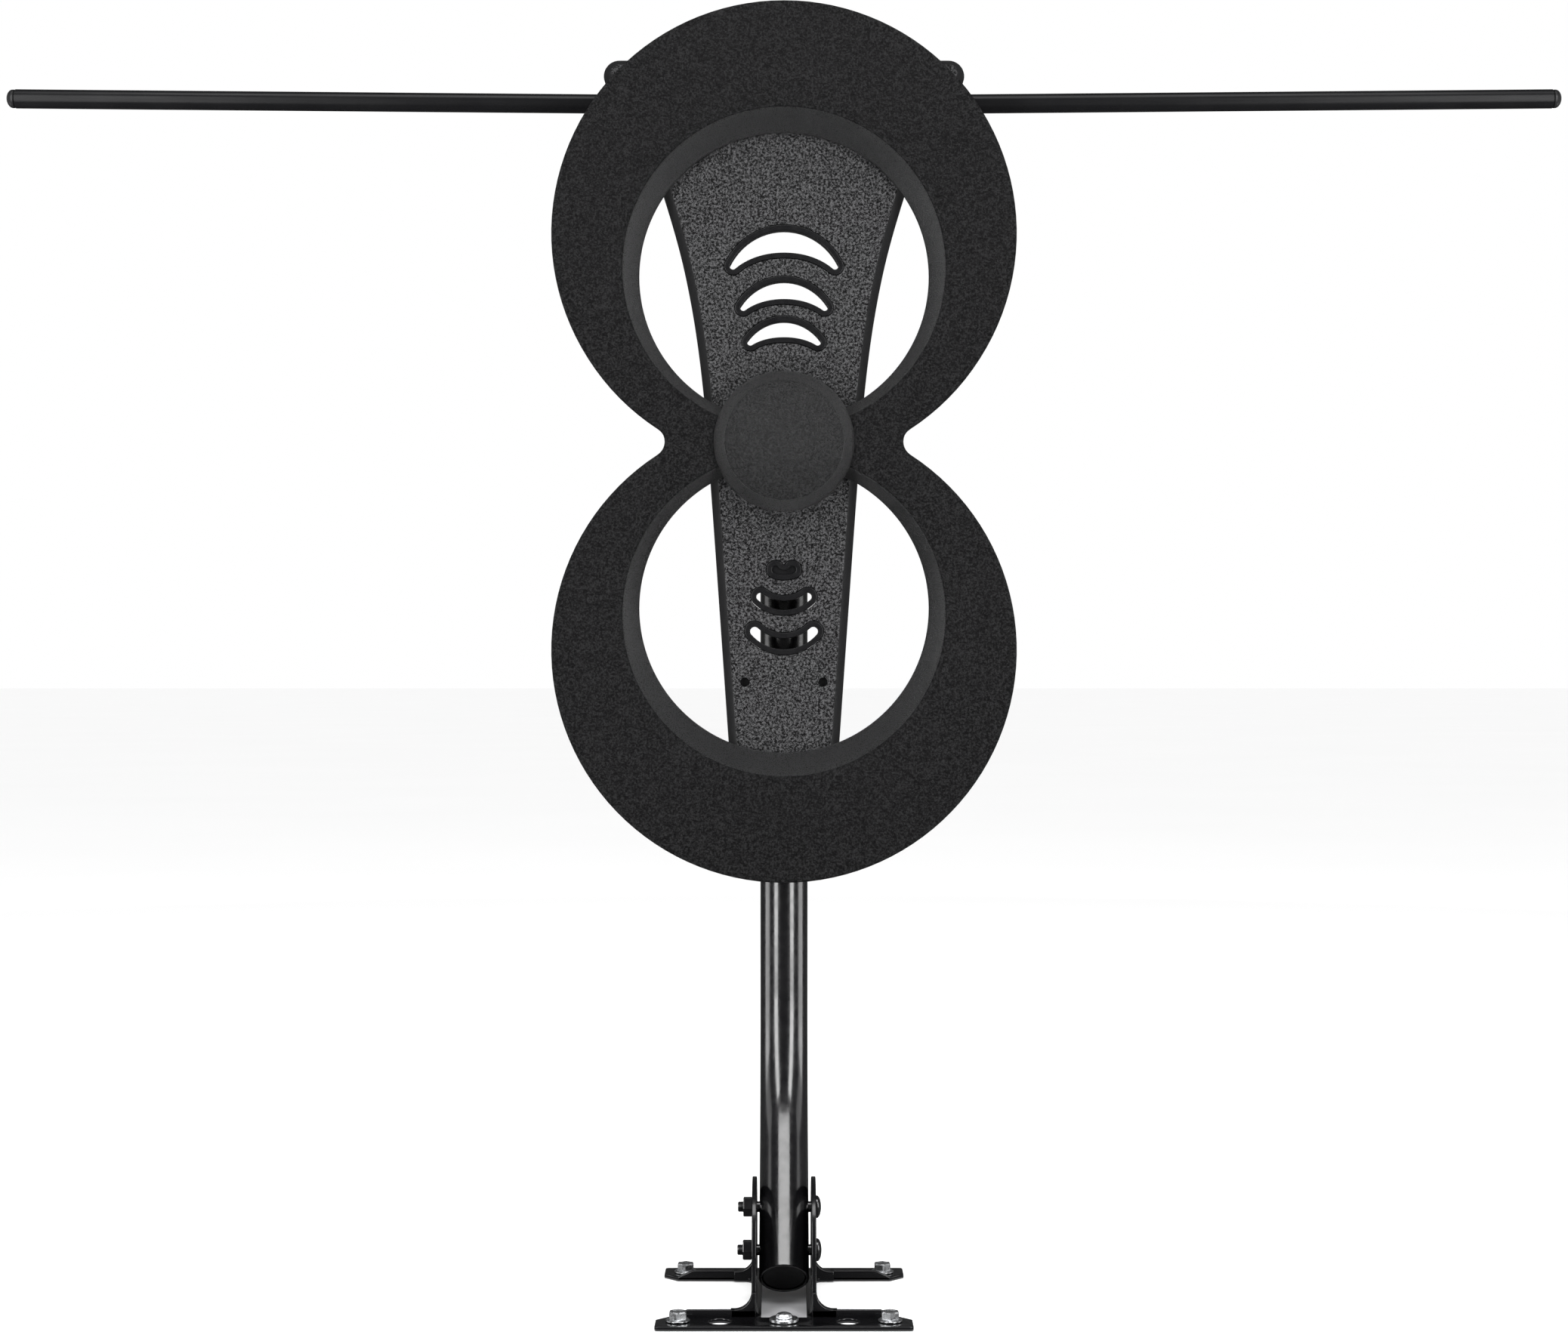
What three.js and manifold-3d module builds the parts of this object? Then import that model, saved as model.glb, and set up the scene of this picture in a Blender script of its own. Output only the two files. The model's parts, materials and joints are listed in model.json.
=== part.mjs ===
// Roof or attic television antenna: a figure-eight loop pair on a tapered backbone with two
// folding dipole rods, carried by a bent tube mast on a stamped foot.
// Millimetres, +Z up, the front of the antenna faces -Y, origin at the centre of the foot's underside.

import * as THREE from 'three';
import { mergeVertices } from 'three/addons/utils/BufferGeometryUtils.js';
import Module from 'manifold-3d';

const wasm = await Module();
wasm.setup();

// ---------------------------------------------------------------- driving dimensions

const GAP = 0.3; // clearance kept between pieces that touch on the real object
const ARC_STEPS = 28; // facets of a large full circle
const SMALL_STEPS = 10; // facets of a bolt, screw or bore
const TUBE_STEPS = 20; // facets round the mast and what grips it

// Foot: a stamped H-shaped plate with two upright cheeks.
const FOOT = {
  width: 137,
  depth: 138,
  armDepth: 24,
  sheet: 2.5,
  cornerCut: 8,
  rootRadius: 9,
  lipHeight: 6.2,
  lipCut: 8.7,
  channel: 30,
  cheekRadius: 40,
  cheekBase: 46,
  webRadius: 9,
  webDepth: 5,
  screwX: 56.5,
  screwY: 57,
  slotX: 34.2,
  slotRadius: 6.2,
};
const CHEEK_OUT = FOOT.channel / 2 + FOOT.sheet;
const ARM_IN = FOOT.depth / 2 - FOOT.armDepth;

// Bolts through the cheeks.
const PIVOT_Z = 28;
const LOCK_RADIUS = 28;
const BOLT_R = 3;
const BOLT_HOLE_R = BOLT_R + GAP;
const NUT_FLATS = 10;
const NUT_LENGTH = 5;
const THREAD_PROUD = 3;
const BOLT_HEAD_R = 6.3;
const BOLT_HEAD_LENGTH = 3;

// Mast: one tube, a straight slope through the foot, a bend, and a vertical run.
const MAST = { radius: 13.75, wall: 1.6, slope: 85, belowPivot: 18.4, bendRadius: 123, top: 440 };
const SLOPE = Math.PI / 4;

// Loop pair.
const HUB_Z = 478;
const LOOP = {
  front: 32,
  rear: 41.7,
  outer: 131.7,
  outerOffset: 118,
  waistRadius: 8.9,
  bevelOuter: 91.2,
  bevelOffset: 98,
  hole: 82.3,
  holeOffset: 94.2,
  wall: 2.4,
  edge: 1.2,
};
const REAR_COVER = { front: 42, rear: 44, inset: 0.8 };

// Hub cap in front of the crossing.
const HUB = { radius: 39.7, face: 33.5, front: 18, wall: 2.2, domeRadius: 84 };

// Backbone: half widths against height, then the rounded ends of the T-shaped head.
const BACKBONE = { front: 46, joint: 60, rear: 66, draft: 4.7, draftDepth: 11, wall: 2.4, bottom: 285 };
const HALF_WIDTHS = [
  [30.3, 285],
  [41.2, 441],
  [47.3, 516.7],
  [56.2, 573],
  [69.4, 621.6],
  [83, 658],
];
const HEAD_EAR = { x: 94.6, z: 690, radius: 9 };
const EAR_STEPS = 6;

// Crescent openings with round tips: half width outside and inside the tips, the height of the
// tips' centres, and the heights of the outer and inner arcs in the middle.
const CRESCENTS = [
  { half: 31, inner: 27.2, tip: 579.2, far: 599.7, near: 587 },
  { half: 25, inner: 21.4, tip: 555.5, far: 570.5, near: 560.5 },
  { half: 21, inner: 17.4, tip: 535.7, far: 547.7, near: 538.7 },
  { half: 15.8, inner: 11.2, tip: 390.6, far: 383, near: 388.2 },
  { half: 19.4, inner: 14.2, tip: 370.8, far: 360.5, near: 366.8 },
];
const BLIND_CRESCENT = { half: 6.9, inner: 2.5, tip: 406, far: 403.2, near: 405.6, depth: 1.6 };
const CRESCENT_WALL = 2;
const CRESCENT_DEPTH = 8;
const CRESCENT_BACK = 3.2; // how much wider the openings are in the rear shell
const CRESCENT_STEPS = 6;

// Mast clamp behind the backbone.
const CLAMP = { z: 341.8, height: 24, boltX: 22.3, boltR: 2.3, halfWidth: 30, linerWall: 1.4 };

// Dipole rods.
const ROD = { radius: 5.5, wall: 0.9, pivotX: 60, pivotZ: 676.9, y: 72.5, tip: 451, rise: 0.5, capLength: 5 };
const ROD_TAIL = 12;
const ROD_BOLT_R = 2.5;

// ---------------------------------------------------------------- finishes

function finish(color, roughness, metalness) {
  return new THREE.MeshStandardMaterial({ color, roughness, metalness });
}
const GRAINED_PLASTIC = finish(0x2a2a2c, 0.62, 0);
const GLOSS_BLACK_STEEL = finish(0x0c0c0d, 0.22, 0.1);
const ZINC = finish(0xb9bbbd, 0.32, 1);
const SATIN_BLACK_ROD = finish(0x151516, 0.35, 0.2);
const BLACK_PLASTIC = finish(0x121213, 0.5, 0);
const ALUMINIUM = finish(0xc4c6c8, 0.4, 1);
const CIRCUIT_BOARD = finish(0x1e4a30, 0.5, 0);

// ---------------------------------------------------------------- solids

const ALONG_X = new THREE.Matrix4().makeBasis(
  new THREE.Vector3(0, 1, 0),
  new THREE.Vector3(0, 0, 1),
  new THREE.Vector3(1, 0, 0),
);
const ALONG_Y = new THREE.Matrix4().makeBasis(
  new THREE.Vector3(1, 0, 0),
  new THREE.Vector3(0, 0, 1),
  new THREE.Vector3(0, -1, 0),
);

// Turns a closed three.js geometry into a solid, dropping the flat triangles that poles leave.
function solid(geometry) {
  const bare = new THREE.BufferGeometry();
  bare.setAttribute('position', geometry.getAttribute('position'));
  if (geometry.index) bare.setIndex(geometry.index);
  const merged = mergeVertices(bare, 1e-4);
  const points = merged.getAttribute('position').array;
  const kept = [];
  const corner = [new THREE.Vector3(), new THREE.Vector3(), new THREE.Vector3()];
  let volume = 0;
  for (let i = 0; i < merged.index.count; i += 3) {
    const ids = [0, 1, 2].map((k) => merged.index.getX(i + k));
    if (ids[0] === ids[1] || ids[1] === ids[2] || ids[2] === ids[0]) continue;
    kept.push(...ids);
    corner.forEach((point, k) => point.fromArray(points, ids[k] * 3));
    volume += corner[0].dot(corner[1].clone().cross(corner[2]));
  }
  if (volume < 0) kept.reverse();
  const mesh = new wasm.Mesh({
    numProp: 3,
    vertProperties: Float32Array.from(points),
    triVerts: Uint32Array.from(kept),
  });
  return new wasm.Manifold(mesh);
}

// A flat outline of (x, z) points carried from one depth to another.
function slabY(shape, front, rear, bevel = {}) {
  const settings = { depth: rear - front, bevelEnabled: false, curveSegments: 9, ...bevel };
  return solid(new THREE.ExtrudeGeometry(shape, settings).applyMatrix4(ALONG_Y).translate(0, rear, 0));
}

// A flat outline of (y, z) points carried sideways.
function slabX(shape, low, high) {
  const settings = { depth: high - low, bevelEnabled: false, curveSegments: 6 };
  return solid(new THREE.ExtrudeGeometry(shape, settings).applyMatrix4(ALONG_X).translate(low, 0, 0));
}

// A flat outline of (x, y) points carried upwards.
function slabZ(shape, low, high, curveSegments = TUBE_STEPS / 2) {
  const settings = { depth: high - low, bevelEnabled: false, curveSegments };
  return solid(new THREE.ExtrudeGeometry(shape, settings).translate(0, 0, low));
}

// A profile of [radius, height] points turned about an axis through a point.
function turned(profile, origin, axis, steps = SMALL_STEPS) {
  const points = profile.map(([radius, height]) => new THREE.Vector2(radius, height));
  const geometry = new THREE.LatheGeometry(points, steps);
  const turn = new THREE.Quaternion().setFromUnitVectors(new THREE.Vector3(0, 1, 0), axis);
  return solid(geometry.applyQuaternion(turn).translate(origin.x, origin.y, origin.z));
}

// A plain round bar between two heights along an axis.
function bar(radius, from, to, origin, axis, steps = SMALL_STEPS) {
  return turned([[0, from], [radius, from], [radius, to], [0, to]], origin, axis, steps);
}

function hexBar(flats, from, to, origin, axis) {
  return bar(flats / Math.sqrt(3), from, to, origin, axis, 6);
}

function box(low, high) {
  const geometry = new THREE.BoxGeometry(high[0] - low[0], high[1] - low[1], high[2] - low[2]);
  return solid(geometry.translate(...low.map((value, axis) => (value + high[axis]) / 2)));
}

const at = (x, y, z) => new THREE.Vector3(x, y, z);
const TO_RIGHT = at(1, 0, 0);
const TO_FRONT = at(0, -1, 0);
const TO_REAR = at(0, 1, 0);
const UP = at(0, 0, 1);

const antenna = new THREE.Group();

function piece(name, body, material, parent = antenna) {
  const { vertProperties, triVerts } = body.getMesh();
  const geometry = new THREE.BufferGeometry();
  geometry.setAttribute('position', new THREE.BufferAttribute(new Float32Array(vertProperties), 3));
  geometry.setIndex([...triVerts]);
  geometry.computeVertexNormals();
  const mesh = new THREE.Mesh(geometry, material);
  mesh.name = name;
  parent.add(mesh);
  return mesh;
}

// Points of a round arc that runs from (-half, endZ) over (0, middleZ) to (half, endZ).
function arcOver(half, endZ, middleZ, steps) {
  const rise = middleZ - endZ;
  const centreZ = endZ + (rise * rise - half * half) / (2 * rise);
  const radius = Math.abs(middleZ - centreZ);
  const end = Math.atan2(endZ - centreZ, half);
  const start = Math.sign(rise) * Math.PI - end;
  const points = [];
  for (let i = 0; i <= steps; i += 1) {
    const angle = start + ((end - start) * i) / steps;
    points.push(new THREE.Vector2(radius * Math.cos(angle), centreZ + radius * Math.sin(angle)));
  }
  return points;
}

// ---------------------------------------------------------------- foot

function footPlate() {
  const x = FOOT.width / 2;
  const y = FOOT.depth / 2;
  const root = CHEEK_OUT + FOOT.rootRadius;
  const outline = new THREE.Shape();
  outline.moveTo(-x, -y);
  outline.lineTo(x, -y);
  outline.lineTo(x, -ARM_IN - FOOT.cornerCut);
  outline.lineTo(x - FOOT.cornerCut, -ARM_IN);
  outline.lineTo(root, -ARM_IN);
  outline.absarc(root, FOOT.rootRadius - ARM_IN, FOOT.rootRadius, -Math.PI / 2, -Math.PI, true);
  outline.absarc(root, ARM_IN - FOOT.rootRadius, FOOT.rootRadius, Math.PI, Math.PI / 2, true);
  outline.lineTo(x - FOOT.cornerCut, ARM_IN);
  outline.lineTo(x, ARM_IN + FOOT.cornerCut);
  outline.lineTo(x, y);
  outline.lineTo(-x, y);
  outline.lineTo(-x, ARM_IN + FOOT.cornerCut);
  outline.lineTo(FOOT.cornerCut - x, ARM_IN);
  outline.lineTo(-root, ARM_IN);
  outline.absarc(-root, ARM_IN - FOOT.rootRadius, FOOT.rootRadius, Math.PI / 2, 0, true);
  outline.absarc(-root, FOOT.rootRadius - ARM_IN, FOOT.rootRadius, 0, -Math.PI / 2, true);
  outline.lineTo(FOOT.cornerCut - x, -ARM_IN);
  outline.lineTo(-x, -ARM_IN - FOOT.cornerCut);
  return slabZ(outline, 0, FOOT.sheet, 3);
}

function cheek() {
  const outline = new THREE.Shape();
  outline.moveTo(-FOOT.cheekBase, 0);
  outline.lineTo(FOOT.cheekBase, 0);
  outline.absarc(0, PIVOT_Z, FOOT.cheekRadius, 0, Math.PI, false);
  return slabX(outline, FOOT.channel / 2, CHEEK_OUT);
}

// The curved slot that the lock bolt travels in, from the rearward to the forward slope.
function lockSlot() {
  const slot = new THREE.Shape();
  const outer = LOCK_RADIUS + BOLT_HOLE_R;
  const inner = LOCK_RADIUS - BOLT_HOLE_R;
  const reach = LOCK_RADIUS * Math.sin(SLOPE);
  slot.absarc(0, PIVOT_Z, outer, SLOPE, Math.PI - SLOPE, false);
  slot.absarc(-reach, PIVOT_Z + reach, BOLT_HOLE_R, Math.PI - SLOPE, 2 * Math.PI - SLOPE, false);
  slot.absarc(0, PIVOT_Z, inner, Math.PI - SLOPE, SLOPE, true);
  slot.absarc(reach, PIVOT_Z + reach, BOLT_HOLE_R, SLOPE - Math.PI, SLOPE, false);
  return slabX(slot, -FOOT.width / 2, FOOT.width / 2);
}

// The upturned edge of one arm, with the rounded web that carries it up into the cheek.
function lip() {
  const end = FOOT.width / 2 - FOOT.cornerCut;
  const outline = new THREE.Shape();
  outline.moveTo(FOOT.channel / 2, 0);
  outline.lineTo(end, 0);
  outline.lineTo(end, FOOT.sheet);
  outline.lineTo(end - FOOT.lipCut, FOOT.lipHeight);
  outline.lineTo(FOOT.channel / 2, FOOT.lipHeight);
  const web = new THREE.Shape();
  const webX = CHEEK_OUT + FOOT.webRadius;
  const webZ = FOOT.lipHeight + FOOT.webRadius;
  web.moveTo(FOOT.channel / 2, 0);
  web.lineTo(webX, 0);
  web.absarc(webX, webZ, FOOT.webRadius, -Math.PI / 2, -Math.PI, true);
  web.lineTo(FOOT.channel / 2, webZ);
  const webBody = slabY(web, ARM_IN + FOOT.sheet - FOOT.webDepth, ARM_IN + FOOT.sheet);
  return slabY(outline, ARM_IN, ARM_IN + FOOT.sheet).add(webBody);
}

function footBracket() {
  const mirrors = [
    [0, 0],
    [1, 0],
    [0, 1],
    [1, 1],
  ];
  let body = footPlate();
  for (const [flipX, flipY] of mirrors) {
    let corner = lip();
    if (flipX) corner = corner.mirror([1, 0, 0]);
    if (flipY) corner = corner.mirror([0, 1, 0]);
    body = body.add(corner);
  }
  body = body.add(cheek()).add(cheek().mirror([1, 0, 0]));
  body = body.subtract(box([-FOOT.channel / 2, -FOOT.depth, FOOT.sheet], [FOOT.channel / 2, FOOT.depth, 99]));
  for (const side of [-1, 1]) {
    for (const end of [-1, 1]) {
      body = body.subtract(bar(BOLT_HOLE_R, -1, 9, at(side * FOOT.screwX, end * FOOT.screwY, 0), UP));
      body = body.subtract(bar(FOOT.slotRadius, -1, 9, at(side * FOOT.slotX, end * FOOT.screwY, 0), UP));
    }
  }
  body = body.subtract(bar(BOLT_HOLE_R, -1, 9, at(0, -FOOT.screwY, 0), UP));
  body = body.subtract(bar(BOLT_HOLE_R, -1, 9, at(0, FOOT.screwY, 0), UP));
  body = body.subtract(bar(BOLT_HOLE_R, -FOOT.width, FOOT.width, at(0, 0, PIVOT_Z), TO_RIGHT));
  return body.subtract(lockSlot());
}

// Hexagon flange-head screw; its threaded point is cut flush with the underside of the foot.
function footScrew(x, y) {
  const seat = FOOT.sheet + GAP;
  const flange = [
    [0, GAP],
    [BOLT_R, GAP],
    [BOLT_R, seat],
    [6.45, seat],
    [6.45, seat + 0.8],
    [4.6, seat + 1.6],
    [0, seat + 1.6],
  ];
  const head = hexBar(9, seat + 1, seat + 5.2, at(x, y, 0), UP);
  const crown = turned([[0, seat], [6, seat], [5.2, seat + 4.2], [4, seat + 5.2], [0, seat + 5.2]], at(x, y, 0), UP);
  return turned(flange, at(x, y, 0), UP).add(head.intersect(crown));
}

function centreScrew() {
  const seat = FOOT.sheet + 1.5 + 2 * GAP;
  const profile = [
    [0, GAP],
    [BOLT_R, GAP],
    [BOLT_R, seat],
    [4.4, seat],
    [4.4, seat + 1.1],
    [3.6, seat + 2.1],
    [2, seat + 2.7],
    [0, seat + 2.9],
  ];
  const centre = at(0, -FOOT.screwY, 0);
  const recess = box([-2.2, -0.5, seat + 1.2], [2.2, 0.5, seat + 4]);
  const cross = recess.add(recess.rotate([0, 0, 90])).translate([0, -FOOT.screwY, 0]);
  return turned(profile, centre, UP).subtract(cross);
}

function centreWasher() {
  const low = FOOT.sheet + GAP;
  const profile = [[BOLT_HOLE_R, low], [7.85, low], [7.85, low + 1.5], [BOLT_HOLE_R, low + 1.5], [BOLT_HOLE_R, low]];
  return turned(profile, at(0, -FOOT.screwY, 0), UP);
}

// Round-headed bolt across both cheeks, head on the right.
function crossBolt(y, z) {
  const seat = CHEEK_OUT + GAP;
  const profile = [
    [0, -seat - NUT_LENGTH - THREAD_PROUD],
    [BOLT_R - 0.4, -seat - NUT_LENGTH - THREAD_PROUD],
    [BOLT_R, -seat - NUT_LENGTH - THREAD_PROUD + 0.6],
    [BOLT_R, seat],
    [BOLT_HEAD_R, seat],
    [BOLT_HEAD_R - 0.4, seat + 1],
    [BOLT_HEAD_R - 2, seat + 2.3],
    [0, seat + BOLT_HEAD_LENGTH],
  ];
  return turned(profile, at(0, y, z), TO_RIGHT);
}

function crossNut(y, z) {
  const seat = CHEEK_OUT + GAP;
  const bore = bar(BOLT_HOLE_R, -99, 0, at(0, y, z), TO_RIGHT);
  return hexBar(NUT_FLATS, -seat - NUT_LENGTH, -seat, at(0, y, z), TO_RIGHT).subtract(bore);
}

piece('foot_bracket', footBracket(), GLOSS_BLACK_STEEL);
const CORNERS = { front_left: [-1, -1], front_right: [1, -1], rear_left: [-1, 1], rear_right: [1, 1] };
for (const [place, [side, end]] of Object.entries(CORNERS)) {
  piece(`foot_screw_${place}`, footScrew(side * FOOT.screwX, end * FOOT.screwY), ZINC);
}
piece('centre_screw', centreScrew(), ZINC);
piece('centre_washer', centreWasher(), ZINC);
piece('pivot_bolt', crossBolt(0, PIVOT_Z), GLOSS_BLACK_STEEL);
piece('pivot_nut', crossNut(0, PIVOT_Z), GLOSS_BLACK_STEEL);

// ---------------------------------------------------------------- mast

const SLOPE_WAY = at(0, Math.cos(SLOPE), Math.sin(SLOPE));
const MAST_FOOT = at(0, 0, PIVOT_Z).addScaledVector(SLOPE_WAY, -MAST.belowPivot);
const BEND_START = MAST_FOOT.clone().addScaledVector(SLOPE_WAY, MAST.slope);
const BEND_CENTRE = BEND_START.clone().addScaledVector(
  at(0, -Math.sin(SLOPE), Math.cos(SLOPE)),
  MAST.bendRadius,
);
const MAST_Y = BEND_CENTRE.y + MAST.bendRadius;
const MAST_BORE = MAST.radius - MAST.wall;

// The mast's centre line, stepped at its straight ends and evenly through its bend.
class MastLine extends THREE.Curve {
  constructor(bendSteps) {
    super();
    this.stations = [{ point: MAST_FOOT, way: SLOPE_WAY }];
    for (let i = 0; i <= bendSteps; i += 1) {
      const angle = -SLOPE + (SLOPE * i) / bendSteps;
      const point = at(0, Math.cos(angle), Math.sin(angle)).multiplyScalar(MAST.bendRadius).add(BEND_CENTRE);
      this.stations.push({ point, way: at(0, -Math.sin(angle), Math.cos(angle)) });
    }
    this.stations.push({ point: at(0, MAST_Y, MAST.top), way: UP });
  }

  station(u) {
    return this.stations[Math.round(u * (this.stations.length - 1))];
  }

  getPointAt(u) {
    return this.station(u).point.clone();
  }

  getTangentAt(u) {
    return this.station(u).way.clone();
  }
}

function mastTube() {
  const line = new MastLine(6);
  const ring = new THREE.Shape().absarc(0, 0, MAST.radius, 0, 2 * Math.PI, false);
  ring.holes.push(new THREE.Path().absarc(0, 0, MAST_BORE, 0, 2 * Math.PI, true));
  const settings = { steps: line.stations.length - 1, extrudePath: line, curveSegments: TUBE_STEPS / 2 };
  const tube = solid(new THREE.ExtrudeGeometry(ring, settings));
  const lock = LOCK_RADIUS * Math.sin(SLOPE);
  const pivotHole = bar(BOLT_HOLE_R, -20, 20, at(0, 0, PIVOT_Z), TO_RIGHT);
  const lockHole = bar(BOLT_HOLE_R, -20, 20, at(0, lock, PIVOT_Z + lock), TO_RIGHT);
  return tube.subtract(pivotHole).subtract(lockHole);
}

function mastBottomPlug() {
  return bar(MAST_BORE - GAP, 0.8, 8, MAST_FOOT, SLOPE_WAY, TUBE_STEPS);
}

function mastTopCap() {
  const plug = MAST_BORE - GAP;
  const top = MAST.top;
  const profile = [
    [0, top - 9],
    [plug, top - 9],
    [plug, top + GAP],
    [MAST.radius, top + GAP],
    [MAST.radius, top + 2],
    [MAST.radius - 2, top + 3.4],
    [0, top + 4],
  ];
  return turned(profile, at(0, MAST_Y, 0), UP, TUBE_STEPS);
}

const LOCK = LOCK_RADIUS * Math.sin(SLOPE);
piece('mast_tube', mastTube(), GLOSS_BLACK_STEEL);
piece('mast_bottom_plug', mastBottomPlug(), BLACK_PLASTIC);
piece('mast_top_cap', mastTopCap(), BLACK_PLASTIC);
piece('lock_bolt', crossBolt(LOCK, PIVOT_Z + LOCK), GLOSS_BLACK_STEEL);
piece('lock_nut', crossNut(LOCK, PIVOT_Z + LOCK), GLOSS_BLACK_STEEL);

// ---------------------------------------------------------------- loop pair

// The outline of two overlapping discs whose waist is rounded, inset evenly when asked.
function figureEight(inset = 0) {
  const disc = LOOP.outer - inset;
  const waist = LOOP.waistRadius + inset;
  const waistX = Math.sqrt((disc + waist) ** 2 - LOOP.outerOffset ** 2);
  const lean = Math.atan2(LOOP.outerOffset, waistX);
  const top = HUB_Z + LOOP.outerOffset;
  const bottom = HUB_Z - LOOP.outerOffset;
  const outline = new THREE.Shape();
  outline.absarc(0, top, disc, -lean, Math.PI + lean, false);
  outline.absarc(-waistX, HUB_Z, waist, lean, -lean, true);
  outline.absarc(0, bottom, disc, Math.PI - lean, 2 * Math.PI + lean, false);
  outline.absarc(waistX, HUB_Z, waist, Math.PI + lean, Math.PI - lean, true);
  return outline;
}

function discAt(side, radius, offset, front, rear) {
  return bar(radius, front, rear, at(0, 0, HUB_Z + side * offset), TO_REAR, ARC_STEPS);
}

// The sloped inner rim of one loop: its narrow rear circle sits nearer the hub than its wide front one.
function bevelCut(side) {
  const slope = (LOOP.bevelOuter - LOOP.hole) / (LOOP.rear - LOOP.front);
  const lean = (LOOP.bevelOffset - LOOP.holeOffset) / (LOOP.rear - LOOP.front);
  const over = 1;
  const front = LOOP.front - over;
  const depth = LOOP.rear + over - front;
  const wide = LOOP.bevelOuter + slope * over;
  const narrow = LOOP.hole - slope * over;
  const geometry = new THREE.CylinderGeometry(narrow, wide, depth, ARC_STEPS);
  geometry.translate(0, depth / 2, 0);
  const skew = new THREE.Matrix4();
  skew.elements[6] = -side * lean;
  geometry.applyMatrix4(skew);
  geometry.translate(0, front, HUB_Z + side * (LOOP.bevelOffset + lean * over));
  return solid(geometry);
}

const HUB_SCREW_X = 22;
const HUB_SCREW_R = 2;

function hubScrewHoles(body) {
  let drilled = body;
  for (const side of [-1, 1]) {
    const hole = bar(HUB_SCREW_R + GAP, 10, 50, at(side * HUB_SCREW_X, 0, HUB_Z), TO_REAR);
    drilled = drilled.subtract(hole);
  }
  return drilled;
}

function loopCoverFront() {
  const rounding = {
    bevelEnabled: true,
    bevelSize: LOOP.edge,
    bevelThickness: LOOP.edge,
    bevelOffset: -LOOP.edge,
    bevelSegments: 1,
  };
  let body = slabY(figureEight(), LOOP.front + LOOP.edge, LOOP.rear + LOOP.edge, rounding);
  body = body.subtract(box([-300, LOOP.rear, 0], [300, LOOP.rear + 9, 999]));
  let pocket = slabY(figureEight(LOOP.wall), LOOP.front + LOOP.wall, LOOP.rear + 9);
  for (const side of [-1, 1]) {
    body = body.subtract(bevelCut(side));
    pocket = pocket.subtract(discAt(side, LOOP.bevelOuter + LOOP.wall, LOOP.bevelOffset, 0, 99));
  }
  return hubScrewHoles(body.subtract(pocket));
}

function loopCoverRear() {
  let body = slabY(figureEight(REAR_COVER.inset), REAR_COVER.front, REAR_COVER.rear);
  for (const side of [-1, 1]) {
    body = body.subtract(discAt(side, LOOP.hole, LOOP.holeOffset, 0, 99));
  }
  return hubScrewHoles(body);
}

// One horseshoe of aluminium sheet, open at the feed points beside the hub.
function loopElement(side) {
  const front = 37;
  const feedGap = 10;
  let body = slabY(figureEight(LOOP.wall + 1.2), front, front + 0.8);
  body = body.subtract(discAt(side, LOOP.bevelOuter + LOOP.wall + 1.2, LOOP.bevelOffset, 0, 99));
  const feedZ = HUB_Z + side * feedGap;
  const other = side > 0 ? [0, feedZ] : [feedZ, 999];
  return body.subtract(box([-300, 0, other[0]], [300, 99, other[1]]));
}

function hubCap() {
  const rim = LOOP.front - GAP;
  const inner = HUB.radius - HUB.wall;
  const domed = (radius) => [radius, HUB.front + radius ** 2 / (2 * HUB.domeRadius)];
  const profile = [
    ...[0, 0.3, 0.6, 0.8, 1].map((part) => domed(part * HUB.face)),
    [HUB.face + 3, HUB.front + 8.6],
    [HUB.radius - 0.6, HUB.front + 11.2],
    [HUB.radius, HUB.front + 12.2],
    [HUB.radius, rim],
    [inner, rim],
    [inner, HUB.front + 12.2],
    [HUB.face - 1, HUB.front + 9.4],
    [HUB.face * 0.6, HUB.front + 5],
    [0, HUB.front + HUB.wall + 0.4],
  ];
  return turned(profile, at(0, 0, HUB_Z), TO_REAR, ARC_STEPS);
}

function hubSpacer() {
  const front = REAR_COVER.rear + GAP;
  const rear = BACKBONE.front - GAP;
  const profile = [[8, front], [34, front], [34, rear], [8, rear], [8, front]];
  return hubScrewHoles(turned(profile, at(0, 0, HUB_Z), TO_REAR, ARC_STEPS));
}

function hubScrew(side) {
  const seat = LOOP.front - GAP;
  const profile = [
    [0, seat - 2],
    [3, seat - 2],
    [3.8, seat - 1],
    [3.8, seat],
    [HUB_SCREW_R, seat],
    [HUB_SCREW_R, BACKBONE.front + 9],
    [0, BACKBONE.front + 11],
  ];
  return turned(profile, at(side * HUB_SCREW_X, 0, HUB_Z), TO_REAR);
}

function balunBoard() {
  const front = 27;
  const rear = LOOP.front - GAP;
  let body = box([-16, front, HUB_Z - 18], [16, front + 1.6, HUB_Z + 18]);
  for (const side of [-1, 1]) {
    const leg = bar(2, front + 1, rear, at(side * 12, 0, HUB_Z), TO_REAR);
    body = body.add(leg);
  }
  return body;
}

piece('loop_cover_front', loopCoverFront(), GRAINED_PLASTIC);
piece('loop_cover_rear', loopCoverRear(), GRAINED_PLASTIC);
piece('upper_loop_element', loopElement(1), ALUMINIUM);
piece('lower_loop_element', loopElement(-1), ALUMINIUM);
piece('hub_cap', hubCap(), GRAINED_PLASTIC);
piece('hub_spacer', hubSpacer(), BLACK_PLASTIC);
piece('balun_board', balunBoard(), CIRCUIT_BOARD);
piece('hub_screw_left', hubScrew(-1), ZINC);
piece('hub_screw_right', hubScrew(1), ZINC);

// ---------------------------------------------------------------- backbone

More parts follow.
